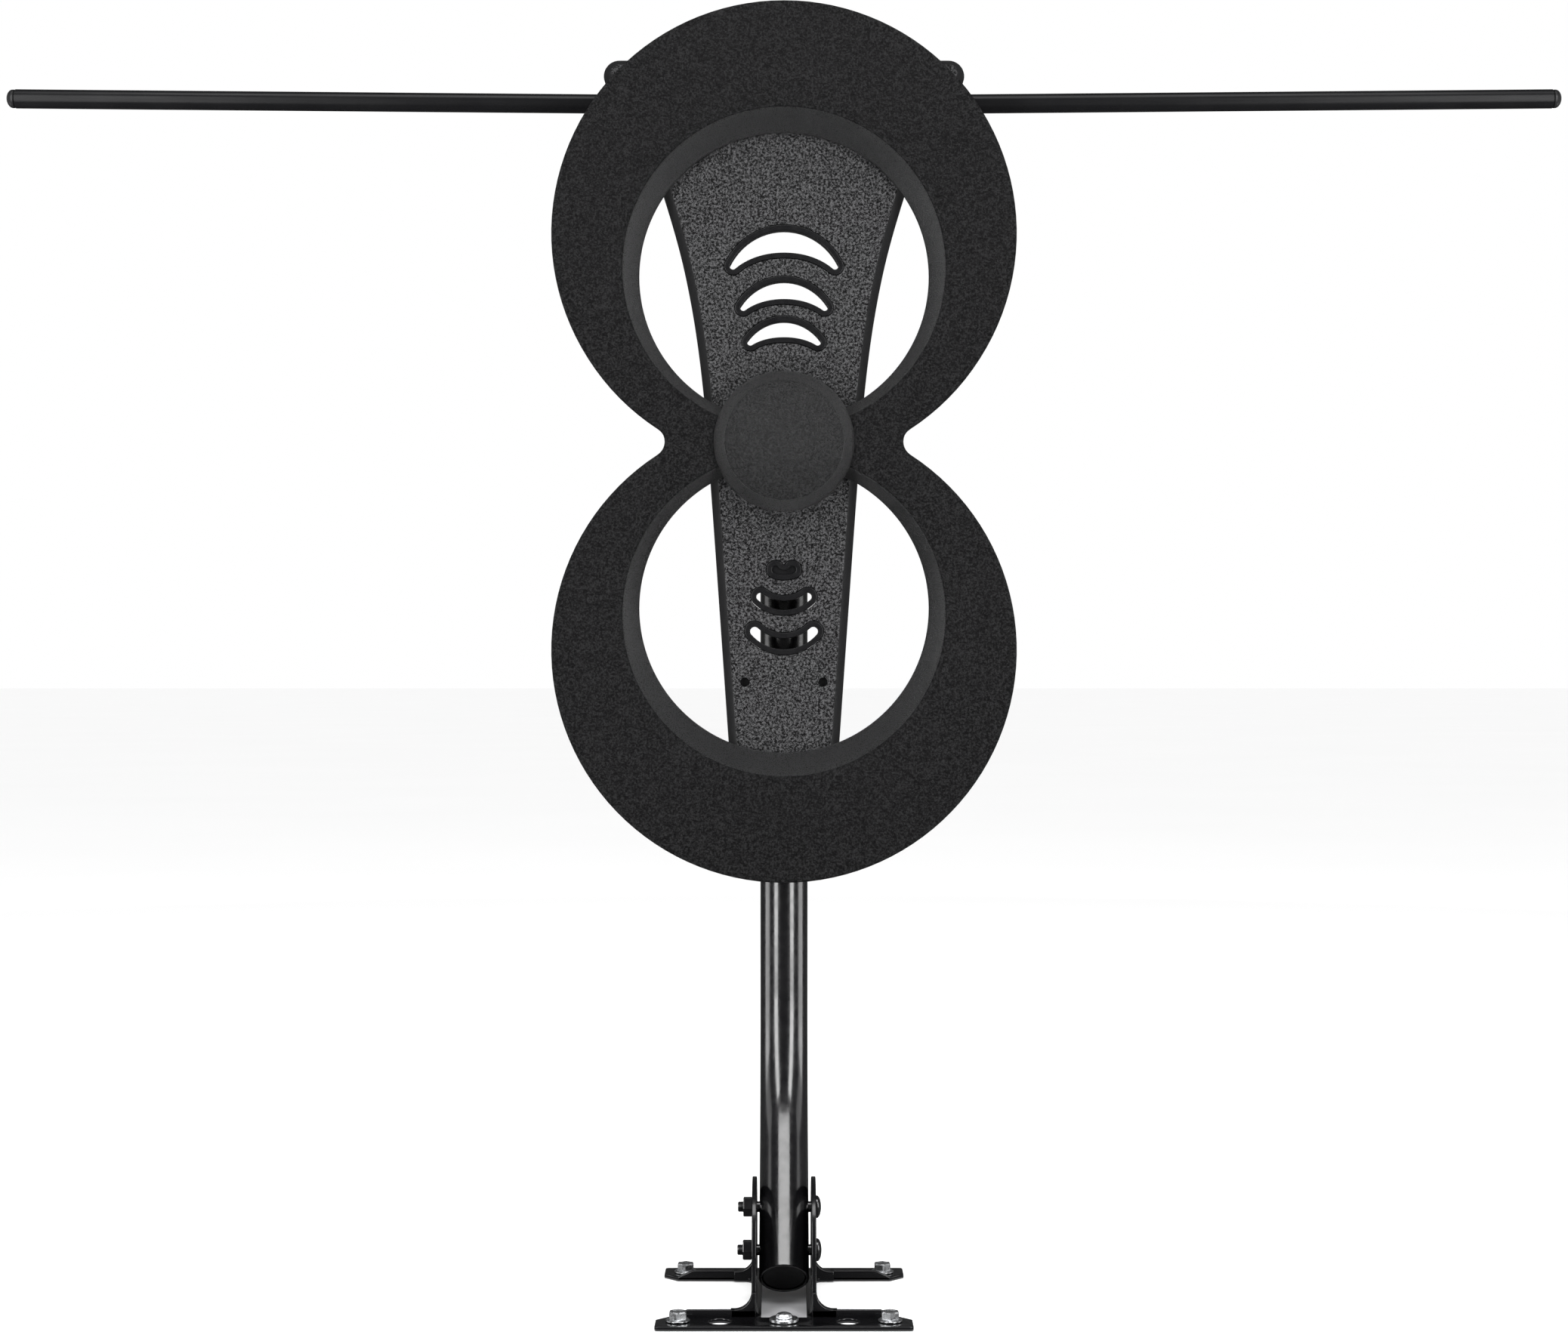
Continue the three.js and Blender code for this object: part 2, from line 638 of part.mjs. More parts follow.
// The outline of the backbone from the flat bottom up to the rounded ears of its head.
function backboneOutline(inset) {
  const steps = 12;
  const side = new THREE.SplineCurve(HALF_WIDTHS.map(([x, z]) => new THREE.Vector2(x, z)));
  const right = side.getPoints(steps).map((point) => point.setX(point.x - inset));
  right[0].setY(BACKBONE.bottom + inset);
  const ear = HEAD_EAR.radius - inset;
  for (let i = 0; i <= EAR_STEPS; i += 1) {
    const angle = -Math.PI / 3 + ((5 * Math.PI) / 6) * (i / EAR_STEPS);
    right.push(new THREE.Vector2(HEAD_EAR.x + ear * Math.cos(angle), HEAD_EAR.z + ear * Math.sin(angle)));
  }
  const left = right.map((point) => new THREE.Vector2(-point.x, point.y)).reverse();
  return new THREE.Shape([...right, ...left]);
}

// The drafted outer form: full width behind, narrower at its flat front face.
function draftedBlock(inset, front) {
  const draft = {
    bevelEnabled: true,
    bevelSize: BACKBONE.draft,
    bevelThickness: BACKBONE.draftDepth,
    bevelOffset: -BACKBONE.draft,
    bevelSegments: 1,
  };
  const end = BACKBONE.rear + 40;
  return slabY(backboneOutline(inset), front + BACKBONE.draftDepth, end, draft);
}

function crescent(slot, grow = 0) {
  const tip = (slot.half - slot.inner) / 2;
  const waist = Math.abs(slot.far - slot.near) / 2;
  const line = arcOver((slot.half + slot.inner) / 2, slot.tip, (slot.far + slot.near) / 2, CRESCENT_STEPS);
  const last = line.length - 1;
  const tangents = line.map((_, i) => line[Math.min(i + 1, last)].clone().sub(line[Math.max(i - 1, 0)]).normalize());
  const outwards = Math.sign(slot.far - slot.near);
  const shifted = (i, forward, sideways) => {
    const normal = new THREE.Vector2(-tangents[i].y, tangents[i].x).multiplyScalar(outwards);
    return line[i].clone().addScaledVector(normal, sideways).addScaledVector(tangents[i], forward);
  };
  const thickness = line.map((_, i) => tip + (waist - tip) * Math.sin((Math.PI * i) / last) + grow);
  const outer = line.map((_, i) => shifted(i, 0, thickness[i]));
  const inner = line.map((_, i) => shifted(i, 0, -thickness[i])).reverse();
  const cap = (i, way) =>
    [1, 2, 3].map((step) => {
      const angle = (Math.PI * step) / 4;
      return shifted(i, way * thickness[i] * Math.sin(angle), way * thickness[i] * Math.cos(angle));
    });
  return new THREE.Shape([...outer, ...cap(last, 1), ...inner, ...cap(0, -1)]);
}

function rodBoltHoles(body) {
  let drilled = body;
  for (const side of [-1, 1]) {
    const centre = at(side * ROD.pivotX, 0, ROD.pivotZ);
    drilled = drilled.subtract(bar(ROD_BOLT_R + GAP, BACKBONE.joint, 90, centre, TO_REAR));
  }
  return drilled;
}

const SHELL_SCREWS = { upper_left: [-84, 688], upper_right: [84, 688], lower_left: [-20, 306], lower_right: [20, 306] };
const SHELL_SCREW_R = 1.5;
const CONNECTOR = { y: 54.9, radius: 4.7, flange: 5.2, bottom: 268, bore: 3 };

function backboneFront() {
  const front = BACKBONE.front;
  const joint = BACKBONE.joint;
  let body = draftedBlock(0, front);
  let cavity = draftedBlock(BACKBONE.wall, front + BACKBONE.wall);
  for (const slot of CRESCENTS) {
    cavity = cavity.subtract(slabY(crescent(slot, CRESCENT_WALL), front, front + CRESCENT_DEPTH));
  }
  for (const [x, z] of Object.values(SHELL_SCREWS)) {
    cavity = cavity.subtract(bar(3.6, front, 99, at(x, 0, z), TO_REAR));
  }
  for (const side of [-1, 1]) {
    cavity = cavity.subtract(bar(4, front, 99, at(side * HUB_SCREW_X, 0, HUB_Z), TO_REAR));
  }
  body = body.subtract(cavity);
  for (const slot of CRESCENTS) {
    body = body.subtract(slabY(crescent(slot), 0, 99));
  }
  body = body.subtract(slabY(crescent(BLIND_CRESCENT), 0, front + BLIND_CRESCENT.depth));
  for (const [x, z] of Object.values(SHELL_SCREWS)) {
    body = body.subtract(bar(SHELL_SCREW_R + GAP, front + 5, 99, at(x, 0, z), TO_REAR));
  }
  for (const side of [-1, 1]) {
    const clampHole = bar(CLAMP.boltR + GAP, 0, 99, at(side * CLAMP.boltX, 0, CLAMP.z), TO_REAR);
    body = body.subtract(bar(HUB_SCREW_R + GAP, 0, front + 12, at(side * HUB_SCREW_X, 0, HUB_Z), TO_REAR));
    body = body.subtract(clampHole);
  }
  const socket = at(0, CONNECTOR.y, 0);
  body = body.subtract(bar(CONNECTOR.radius + GAP, CONNECTOR.bottom, BACKBONE.bottom + 9, socket, UP));
  return body.subtract(box([-300, joint, 0], [300, 200, 999]));
}

function backboneRear() {
  const front = BACKBONE.joint + GAP;
  const rear = BACKBONE.rear;
  let body = slabY(backboneOutline(0), front, rear);
  let cavity = slabY(backboneOutline(BACKBONE.wall), front - 9, rear - BACKBONE.wall);
  body = body.subtract(cavity);
  for (const slot of CRESCENTS) {
    body = body.subtract(slabY(crescent(slot, CRESCENT_BACK), 0, 99));
  }
  for (const [x, z] of Object.values(SHELL_SCREWS)) {
    body = body.subtract(bar(SHELL_SCREW_R + GAP, 0, 99, at(x, 0, z), TO_REAR));
  }
  for (const side of [-1, 1]) {
    const clampHole = bar(CLAMP.boltR + GAP, 0, 99, at(side * CLAMP.boltX, 0, CLAMP.z), TO_REAR);
    body = body.subtract(clampHole);
  }
  return rodBoltHoles(body);
}

function shellScrew(x, z) {
  const seat = BACKBONE.rear + GAP;
  const profile = [
    [0, BACKBONE.front + 6],
    [SHELL_SCREW_R, BACKBONE.front + 8],
    [SHELL_SCREW_R, seat],
    [3.2, seat],
    [3.2, seat + 0.9],
    [2.2, seat + 1.8],
    [0, seat + 2.1],
  ];
  return turned(profile, at(x, 0, z), TO_REAR);
}

function connector() {
  const inside = BACKBONE.bottom + BACKBONE.wall + BACKBONE.draft;
  const profile = [
    [0, inside + 2.4],
    [CONNECTOR.flange, inside + 2.4],
    [CONNECTOR.flange, inside + GAP],
    [CONNECTOR.radius, inside + GAP],
    [CONNECTOR.radius, CONNECTOR.bottom],
    [CONNECTOR.bore, CONNECTOR.bottom],
    [CONNECTOR.bore, inside],
    [0, inside],
  ];
  return turned(profile, at(0, CONNECTOR.y, 0), UP);
}

function connectorNut() {
  const top = BACKBONE.bottom - GAP;
  const bore = bar(CONNECTOR.radius + GAP, 0, 400, at(0, CONNECTOR.y, 0), UP);
  return hexBar(12.5, top - 3, top, at(0, CONNECTOR.y, 0), UP).subtract(bore);
}

function combinerBoard() {
  return box([-34, 51, 655], [34, 52.6, 685]);
}

piece('backbone_front', backboneFront(), GRAINED_PLASTIC);
piece('backbone_rear', backboneRear(), GRAINED_PLASTIC);
for (const [place, [x, z]] of Object.entries(SHELL_SCREWS)) {
  piece(`backbone_screw_${place}`, shellScrew(x, z), ZINC);
}
piece('coax_connector', connector(), ZINC);
piece('coax_connector_nut', connectorNut(), ZINC);
piece('combiner_board', combinerBoard(), CIRCUIT_BOARD);

// ---------------------------------------------------------------- mast clamp

const LINER_OUT = MAST.radius + GAP + CLAMP.linerWall;
const CLAMP_LOW = CLAMP.z - CLAMP.height / 2;
const CLAMP_HIGH = CLAMP.z + CLAMP.height / 2;

// A split sleeve that grips the mast and lets the clamp slide and turn on it.
function mastLiner() {
  const slit = Math.asin(1.5 / LINER_OUT);
  const ring = new THREE.Shape();
  ring.absarc(0, MAST_Y, LINER_OUT, slit, 2 * Math.PI - slit, false);
  ring.absarc(0, MAST_Y, MAST.radius + GAP, 2 * Math.PI - slit, slit, true);
  return slabZ(ring, CLAMP_LOW - 2, CLAMP_HIGH + 2);
}

function clampBoltHoles(body) {
  let drilled = body;
  for (const side of [-1, 1]) {
    const centre = at(side * CLAMP.boltX, 0, CLAMP.z);
    drilled = drilled.subtract(bar(CLAMP.boltR + GAP, 40, 120, centre, TO_REAR));
  }
  return drilled;
}

function clampSaddle() {
  const block = box([-CLAMP.halfWidth, BACKBONE.rear + GAP, CLAMP_LOW], [CLAMP.halfWidth, MAST_Y - 2, CLAMP_HIGH]);
  return clampBoltHoles(block.subtract(bar(LINER_OUT + GAP, 0, 500, at(0, MAST_Y, 0), UP, TUBE_STEPS)));
}

function clampJaw() {
  const plate = 3;
  const seat = MAST_Y + 2;
  const arch = bar(LINER_OUT + GAP + plate, CLAMP_LOW, CLAMP_HIGH, at(0, MAST_Y, 0), UP, TUBE_STEPS);
  const lugs = box([-CLAMP.halfWidth, seat, CLAMP_LOW], [CLAMP.halfWidth, seat + plate, CLAMP_HIGH]);
  const bore = bar(LINER_OUT + GAP, 0, 500, at(0, MAST_Y, 0), UP, TUBE_STEPS);
  const front = box([-99, 0, 0], [99, seat, 999]);
  return clampBoltHoles(arch.add(lugs).subtract(bore).subtract(front));
}

const JAW_BACK = MAST_Y + 5;

function clampBolt(side) {
  const seat = BACKBONE.rear - BACKBONE.wall - GAP;
  const profile = [
    [0, BACKBONE.front + 5],
    [CLAMP.boltR, BACKBONE.front + 5],
    [CLAMP.boltR, seat - 2.5],
    [4.5, seat - 2.5],
    [4.5, seat],
    [CLAMP.boltR, seat],
    [CLAMP.boltR, JAW_BACK + 12],
    [0, JAW_BACK + 12],
  ];
  return turned(profile, at(side * CLAMP.boltX, 0, CLAMP.z), TO_REAR);
}

// Wing nut: a round hub with two upswept ears.
function clampWingNut(side) {
  const seat = JAW_BACK + GAP;
  const x = side * CLAMP.boltX;
  const ear = new THREE.Shape();
  ear.moveTo(0, 0);
  ear.lineTo(4, 0);
  ear.lineTo(9.5, 5);
  ear.lineTo(9.5, 9);
  ear.lineTo(7, 9.5);
  ear.lineTo(3, 5.5);
  ear.lineTo(0, 5.5);
  const settings = { depth: 2, bevelEnabled: false };
  const flat = solid(new THREE.ExtrudeGeometry(ear, settings).translate(0, 0, -1));
  const wing = flat.rotate([0, 90, 0]).translate([x, seat, CLAMP.z]);
  const mirrored = flat.rotate([0, -90, 0]).translate([x, seat, CLAMP.z]);
  const hub = turned([[0, seat], [4.6, seat], [3.8, seat + 5.5], [0, seat + 5.5]], at(x, 0, CLAMP.z), TO_REAR);
  const bore = bar(CLAMP.boltR + GAP, 0, 140, at(x, 0, CLAMP.z), TO_REAR);
  return hub.add(wing).add(mirrored).subtract(bore);
}

piece('mast_liner', mastLiner(), BLACK_PLASTIC);
piece('clamp_saddle', clampSaddle(), BLACK_PLASTIC);
piece('clamp_jaw', clampJaw(), GLOSS_BLACK_STEEL);
for (const [place, side] of Object.entries({ left: -1, right: 1 })) {
  piece(`clamp_bolt_${place}`, clampBolt(side), ZINC);
  piece(`clamp_wing_nut_${place}`, clampWingNut(side), ZINC);
}

// ---------------------------------------------------------------- dipole rods

const ROD_LENGTH = (ROD.tip - ROD.pivotX) / Math.cos(THREE.MathUtils.degToRad(ROD.rise)) - ROD.capLength;
const HERE = at(0, 0, 0);

function rodTube() {
  const inner = ROD.radius - ROD.wall;
  const profile = [
    [inner, -ROD_TAIL],
    [ROD.radius, -ROD_TAIL],
    [ROD.radius, ROD_LENGTH],
    [inner, ROD_LENGTH],
    [inner, -ROD_TAIL],
  ];
  const hole = bar(ROD_BOLT_R + GAP, -9, 9, HERE, TO_REAR);
  return turned(profile, HERE, TO_RIGHT, 16).subtract(hole);
}

function rodTipCap() {
  const plug = ROD.radius - ROD.wall - GAP;
  const face = ROD_LENGTH + GAP;
  const radius = ROD.radius - 0.2;
  const profile = [
    [0, face - 12],
    [plug, face - 12],
    [plug, face],
    [radius, face],
  ];
  const straight = 1.2;
  for (let i = 0; i <= 3; i += 1) {
    const angle = (Math.PI / 2) * (i / 3);
    const height = ROD.capLength - GAP - straight;
    profile.push([radius * Math.cos(angle), face + straight + height * Math.sin(angle)]);
  }
  profile[profile.length - 1][0] = 0;
  return turned(profile, HERE, TO_RIGHT, 16);
}

function rodPivotBolt(x) {
  const seat = ROD.y + ROD.radius + GAP;
  const profile = [
    [0, BACKBONE.joint - 4],
    [ROD_BOLT_R, BACKBONE.joint - 4],
    [ROD_BOLT_R, seat],
    [5.5, seat],
    [5, seat + 1.6],
    [3, seat + 2.8],
    [0, seat + 3.2],
  ];
  return turned(profile, at(x, 0, ROD.pivotZ), TO_REAR);
}

function rodPivotNut(x) {
  const seat = BACKBONE.rear - BACKBONE.wall - GAP;
  const bore = bar(ROD_BOLT_R + GAP, 0, 99, at(x, 0, ROD.pivotZ), TO_REAR);
  return hexBar(8, seat - 4, seat, at(x, 0, ROD.pivotZ), TO_REAR).subtract(bore);
}

for (const [place, side] of Object.entries({ left: -1, right: 1 })) {
  const arm = new THREE.Group();
  arm.position.set(side * ROD.pivotX, ROD.y, ROD.pivotZ);
  arm.rotation.set(0, -side * THREE.MathUtils.degToRad(ROD.rise), side > 0 ? 0 : Math.PI);
  antenna.add(arm);
  piece(`rod_${place}`, rodTube(), SATIN_BLACK_ROD, arm);
  piece(`rod_tip_cap_${place}`, rodTipCap(), BLACK_PLASTIC, arm);
  piece(`rod_pivot_bolt_${place}`, rodPivotBolt(side * ROD.pivotX), ZINC);
  piece(`rod_pivot_nut_${place}`, rodPivotNut(side * ROD.pivotX), ZINC);
}

export default antenna;
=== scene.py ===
"""Looks of the figure-eight television antenna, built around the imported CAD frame.

Lengths in this file are millimetres in the frame's own axes (+X right, -Y front, +Z up)
and become metres when a mesh is made.
"""

import json
import math

import bmesh
import bpy
from mathutils import Matrix, Vector


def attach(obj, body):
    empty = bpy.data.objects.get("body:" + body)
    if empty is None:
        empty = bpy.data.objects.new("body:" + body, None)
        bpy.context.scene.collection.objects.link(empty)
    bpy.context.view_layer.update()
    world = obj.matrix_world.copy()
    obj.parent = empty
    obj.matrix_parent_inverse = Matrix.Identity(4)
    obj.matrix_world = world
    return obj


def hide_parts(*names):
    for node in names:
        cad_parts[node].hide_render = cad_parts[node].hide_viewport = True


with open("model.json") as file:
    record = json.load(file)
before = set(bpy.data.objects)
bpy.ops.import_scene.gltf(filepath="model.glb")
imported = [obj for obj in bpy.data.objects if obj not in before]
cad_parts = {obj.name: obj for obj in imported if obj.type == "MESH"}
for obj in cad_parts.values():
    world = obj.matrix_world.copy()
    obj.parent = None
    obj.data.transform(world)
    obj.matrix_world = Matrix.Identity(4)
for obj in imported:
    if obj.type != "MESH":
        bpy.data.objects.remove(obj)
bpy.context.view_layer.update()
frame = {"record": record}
MM = 0.001

# ---------------------------------------------------------------- dimensions shared with the CAD

HUB_Z = 478.0
LOOP_FRONT, LOOP_REAR = 32.0, 41.7
LOOP_R, LOOP_OFFSET, WAIST_R = 131.7, 118.0, 8.9
BEVEL_R, BEVEL_OFFSET = 91.2, 98.0
HOLE_R, HOLE_OFFSET = 82.3, 94.2
HUB_R, HUB_FACE_R, HUB_FRONT, HUB_DOME_R = 39.7, 33.5, 18.0, 84.0
BACK_FRONT, BACK_JOINT, BACK_REAR = 46.0, 60.0, 66.0
DRAFT, DRAFT_DEPTH = 4.7, 11.0
HALF_WIDTHS = [(30.3, 285), (41.2, 441), (47.3, 516.7), (56.2, 573), (69.4, 621.6), (83, 658)]
EAR_X, EAR_Z, EAR_R = 94.6, 690.0, 9.0
# Each opening: half width, inner half width, height of its tips, of its far edge and of its near edge.
CRESCENTS = [
    (31.0, 27.2, 579.2, 599.7, 587.0),
    (25.0, 21.4, 555.5, 570.5, 560.5),
    (21.0, 17.4, 535.7, 547.7, 538.7),
    (15.8, 11.2, 390.6, 383.0, 388.2),
    (19.4, 14.2, 370.8, 360.5, 366.8),
]
BLIND_CRESCENT = (6.9, 2.5, 406.0, 403.2, 405.6)
RIM = 3.4
SLOT_DEPTH, SLOT_BACK = 8.0, 3.2
PIVOT_Z, LOCK_R = 28.0, 28.0
MAST_R, MAST_WALL, SLOPE_LENGTH, BELOW_PIVOT, BEND_R, MAST_TOP = 13.75, 1.6, 85.0, 18.4, 123.0, 440.0
SLOPE = math.pi / 4
CLAMP_Z, CLAMP_BOLT_X = 341.8, 22.3
ROD_R, ROD_X, ROD_Y, ROD_Z, ROD_TIP, ROD_RISE = 5.5, 60.0, 72.5, 676.9, 451.0, math.radians(0.5)
ROD_TAIL, CAP_LENGTH = 12.0, 5.0
FOOT_X, FOOT_Y, ARM_IN, SHEET = 68.5, 69.0, 45.0, 2.5
CHANNEL_X, CHEEK_X, WEB_R, WEB_DEPTH = 15.0, 17.5, 9.0, 5.0
SCREW_X, SCREW_Y, SLOT_X = 56.5, 57.0, 34.2
GAP = 0.3
STEEL_SLOT = "gloss_black_steel"

X_AXIS, Y_AXIS, Z_AXIS = Vector((1, 0, 0)), Vector((0, 1, 0)), Vector((0, 0, 1))

# ---------------------------------------------------------------- node materials


class Nodes:
    """A new material with its Principled shader, and short calls for the nodes that feed it."""

    def __init__(self, name, **values):
        self.material = bpy.data.materials.new(name)
        self.material.use_nodes = True
        self.tree = self.material.node_tree
        self.shader = self.tree.nodes["Principled BSDF"]
        for key, value in values.items():
            self.shader.inputs[key.replace("_", " ")].default_value = value
        self.place = self.add("ShaderNodeTexCoord").outputs["Object"]

    def add(self, kind, **settings):
        node = self.tree.nodes.new(kind)
        for key, value in settings.items():
            setattr(node, key, value)
        return node

    def link(self, start, end):
        self.tree.links.new(start, end)

    def noise(self, scale, detail=2.0, rough=0.5, stretch=None):
        node = self.add("ShaderNodeTexNoise")
        node.inputs["Scale"].default_value = scale
        node.inputs["Detail"].default_value = detail
        node.inputs["Roughness"].default_value = rough
        place = self.place
        if stretch:
            mapping = self.add("ShaderNodeMapping")
            mapping.inputs["Scale"].default_value = stretch
            self.link(place, mapping.inputs["Vector"])
            place = mapping.outputs["Vector"]
        self.link(place, node.inputs["Vector"])
        return node.outputs["Fac"]

    def cells(self, scale):
        node = self.add("ShaderNodeTexVoronoi")
        node.inputs["Scale"].default_value = scale
        self.link(self.place, node.inputs["Vector"])
        return node.outputs["Distance"]

    def ranged(self, value, low, high, to_low, to_high):
        node = self.add("ShaderNodeMapRange")
        for key, number in (("From Min", low), ("From Max", high), ("To Min", to_low), ("To Max", to_high)):
            node.inputs[key].default_value = number
        self.link(value, node.inputs["Value"])
        return node.outputs["Result"]

    def maths(self, kind, first, second):
        node = self.add("ShaderNodeMath", operation=kind)
        for socket, value in zip(node.inputs, (first, second)):
            if isinstance(value, (int, float)):
                socket.default_value = value
            else:
                self.link(value, socket)
        return node.outputs["Value"]

    def roughness(self, factor, low, high):
        self.link(self.ranged(factor, 0.3, 0.7, low, high), self.shader.inputs["Roughness"])

    def bump(self, height, distance, strength=1.0):
        node = self.add("ShaderNodeBump")
        node.inputs["Strength"].default_value = strength
        node.inputs["Distance"].default_value = distance
        self.link(height, node.inputs["Height"])
        self.link(node.outputs["Normal"], self.shader.inputs["Normal"])


def mix_color_inputs(node):
    """The colour sockets of a Mix node, which shares its names with the number sockets."""
    return [socket for socket in node.inputs if socket.type == "RGBA"]


def shade(nodes, factor, dark, light):
    node = nodes.add("ShaderNodeMix", data_type="RGBA")
    first, second = mix_color_inputs(node)
    first.default_value = (*dark, 1)
    second.default_value = (*light, 1)
    nodes.link(factor, node.inputs[0])
    result = [out for out in node.outputs if out.type == "RGBA"][0]
    nodes.link(result, nodes.shader.inputs["Base Color"])


def grained_plastic(name, grain, dark, light, rough, shine=0.16):
    """Spark-eroded moulding: pits about a millimetre wide with finer sand between them."""
    nodes = Nodes(name, Specular_IOR_Level=shine)
    pits = nodes.noise(grain, detail=3.0, rough=0.65)
    sand = nodes.noise(grain * 2.7, detail=2.0, rough=0.6)
    height = nodes.maths("ADD", pits, nodes.maths("MULTIPLY", sand, 0.6))
    speckle = nodes.ranged(height, 0.72, 0.96, 0.0, 1.0)
    shade(nodes, speckle, dark, light)
    nodes.roughness(pits, rough - 0.08, rough + 0.1)
    nodes.bump(height, 0.0009, 1.0)
    return nodes.material


def smooth_plastic(name, dark, light, rough):
    nodes = Nodes(name, Specular_IOR_Level=0.28)
    flow = nodes.noise(60.0, detail=3.0)
    shade(nodes, flow, dark, light)
    nodes.roughness(nodes.noise(240.0, detail=4.0), rough - 0.05, rough + 0.06)
    nodes.bump(nodes.noise(1300.0), 0.00008, 0.35)
    return nodes.material


def gloss_paint():
    """Powder coat: high gloss with the faint orange peel of the cured film."""
    nodes = Nodes("gloss_black_coat", Specular_IOR_Level=0.8, Coat_Weight=0.3, Coat_Roughness=0.08)
    shade(nodes, nodes.noise(35.0, detail=3.0), (0.002, 0.002, 0.0025), (0.004, 0.004, 0.0045))
    nodes.roughness(nodes.noise(180.0, detail=4.0), 0.16, 0.26)
    nodes.bump(nodes.noise(420.0, detail=1.0), 0.0001, 0.25)
    return nodes.material


def foot_paint():
    """The gloss coat, with a pale grey patch painted on the channel floor under the mast as a painted
    reflection of the white backdrop, a little rougher there.
    """
    nodes = Nodes("foot_gloss_coat", Specular_IOR_Level=0.4, Coat_Weight=0.15, Coat_Roughness=0.08)
    axes = nodes.add("ShaderNodeSeparateXYZ")
    nodes.link(nodes.place, axes.inputs["Vector"])
    across = nodes.maths("LESS_THAN", nodes.maths("ABSOLUTE", axes.outputs["X"], 0.0), 0.0122)
    along = nodes.maths("LESS_THAN", nodes.maths("ABSOLUTE", axes.outputs["Y"], 0.0), 0.0485)
    low = nodes.maths("LESS_THAN", axes.outputs["Z"], 0.0029)
    # The pale patch on the channel floor is a painted reflection, not a finish of its own.
    painted_sheen_zone = nodes.maths("MULTIPLY", nodes.maths("MULTIPLY", across, along), low)
    painted_sheen_mottle = nodes.ranged(nodes.noise(60.0, detail=3.0), 0.3, 0.7, 0.75, 1.0)
    painted_sheen_mask = nodes.maths("MULTIPLY", painted_sheen_zone, painted_sheen_mottle)
    shade(nodes, painted_sheen_mask, (0.003, 0.003, 0.0035), (0.40, 0.40, 0.41))
    nodes.link(nodes.ranged(painted_sheen_mask, 0.0, 1.0, 0.2, 0.42), nodes.shader.inputs["Roughness"])
    nodes.bump(nodes.noise(420.0, detail=1.0), 0.0001, 0.25)
    return nodes.material


def satin_coat(name="satin_black_coat", shine=0.7, coat=0.35):
    nodes = Nodes(name, Specular_IOR_Level=shine, Coat_Weight=coat, Coat_Roughness=0.15)
    shade(nodes, nodes.noise(50.0, detail=4.0), (0.003, 0.003, 0.0035), (0.006, 0.006, 0.0065))
    nodes.roughness(nodes.noise(300.0, stretch=(0.05, 1.0, 1.0)), 0.26, 0.36)
    nodes.bump(nodes.noise(900.0, stretch=(0.08, 1.0, 1.0)), 0.00006, 0.3)
    return nodes.material


def zinc_plate():
    nodes = Nodes("bright_zinc", Metallic=1.0)
    shade(nodes, nodes.noise(300.0, detail=4.0), (0.50, 0.51, 0.53), (0.80, 0.81, 0.82))
    nodes.roughness(nodes.noise(700.0, detail=3.0), 0.20, 0.40)
    nodes.bump(nodes.noise(1600.0, detail=2.0), 0.00006, 0.4)
    return nodes.material


def mill_aluminium():
    nodes = Nodes("mill_aluminium", Metallic=1.0)
    shade(nodes, nodes.noise(90.0, detail=4.0), (0.62, 0.63, 0.64), (0.80, 0.81, 0.82))
    nodes.roughness(nodes.noise(800.0, stretch=(0.03, 1.0, 1.0)), 0.30, 0.48)
    nodes.bump(nodes.noise(1200.0, stretch=(0.03, 1.0, 1.0)), 0.00005, 0.4)
    return nodes.material


def solder_mask():
    nodes = Nodes("green_solder_mask", Coat_Weight=0.5, Coat_Roughness=0.2)
    shade(nodes, nodes.cells(260.0), (0.010, 0.060, 0.026), (0.020, 0.110, 0.050))
    nodes.roughness(nodes.noise(500.0), 0.3, 0.5)
    nodes.bump(nodes.cells(700.0), 0.00012, 0.5)
    return nodes.material


LOOP_GRAIN = grained_plastic("loop_grain", 950.0, (0.0008, 0.0008, 0.001), (0.016, 0.016, 0.0165), 0.50, 0.10)
BACK_GRAIN = grained_plastic(
    "backbone_grain", 720.0, (0.001, 0.001, 0.0012), (0.072, 0.072, 0.074), 0.50, 0.12
)
HUB_GRAIN = grained_plastic("hub_grain", 780.0, (0.001, 0.001, 0.0012), (0.012, 0.012, 0.0125), 0.26, 0.3)
BEVEL_PLASTIC = grained_plastic(
    "bevel_fine_grain", 2100.0, (0.002, 0.002, 0.0025), (0.006, 0.006, 0.0065), 0.30, 0.8
)
SMOOTH = smooth_plastic("smooth_black", (0.005, 0.005, 0.0055), (0.009, 0.009, 0.0095), 0.40)
# A darker black than smooth_black: painted shade on the slot walls and the floor of the blind crescent.
RIM_PAINTED_SHADE = smooth_plastic("rim_black_painted_shade", (0.003, 0.003, 0.0035), (0.006, 0.006, 0.0065), 0.30)
GLOSS = gloss_paint()
FOOT_GLOSS = foot_paint()
SATIN = satin_coat()
ROD_SATIN = satin_coat("rod_black_coat", 0.12, 0.0)
ZINC = zinc_plate()
ALUMINIUM = mill_aluminium()
BOARD = solder_mask()

# ---------------------------------------------------------------- mesh makers


def arc(centre_u, centre_v, radius, start, end, steps):
    """Points of a round arc, from one angle to another, both ends included."""
    angles = [start + (end - start) * i / steps for i in range(steps + 1)]
    return [(centre_u + radius * math.cos(a), centre_v + radius * math.sin(a)) for a in angles]


def circle(centre_u, centre_v, radius, steps=48):
    return arc(centre_u, centre_v, radius, 0, 2 * math.pi, steps)[:-1]


def area(loop):
    return sum(a[0] * b[1] - b[0] * a[1] for a, b in zip(loop, loop[1:] + loop[:1])) / 2


def turned_way(loop, left):
    """The loop running anticlockwise when left is true, else clockwise."""
    return loop if (area(loop) > 0) == left else loop[::-1]


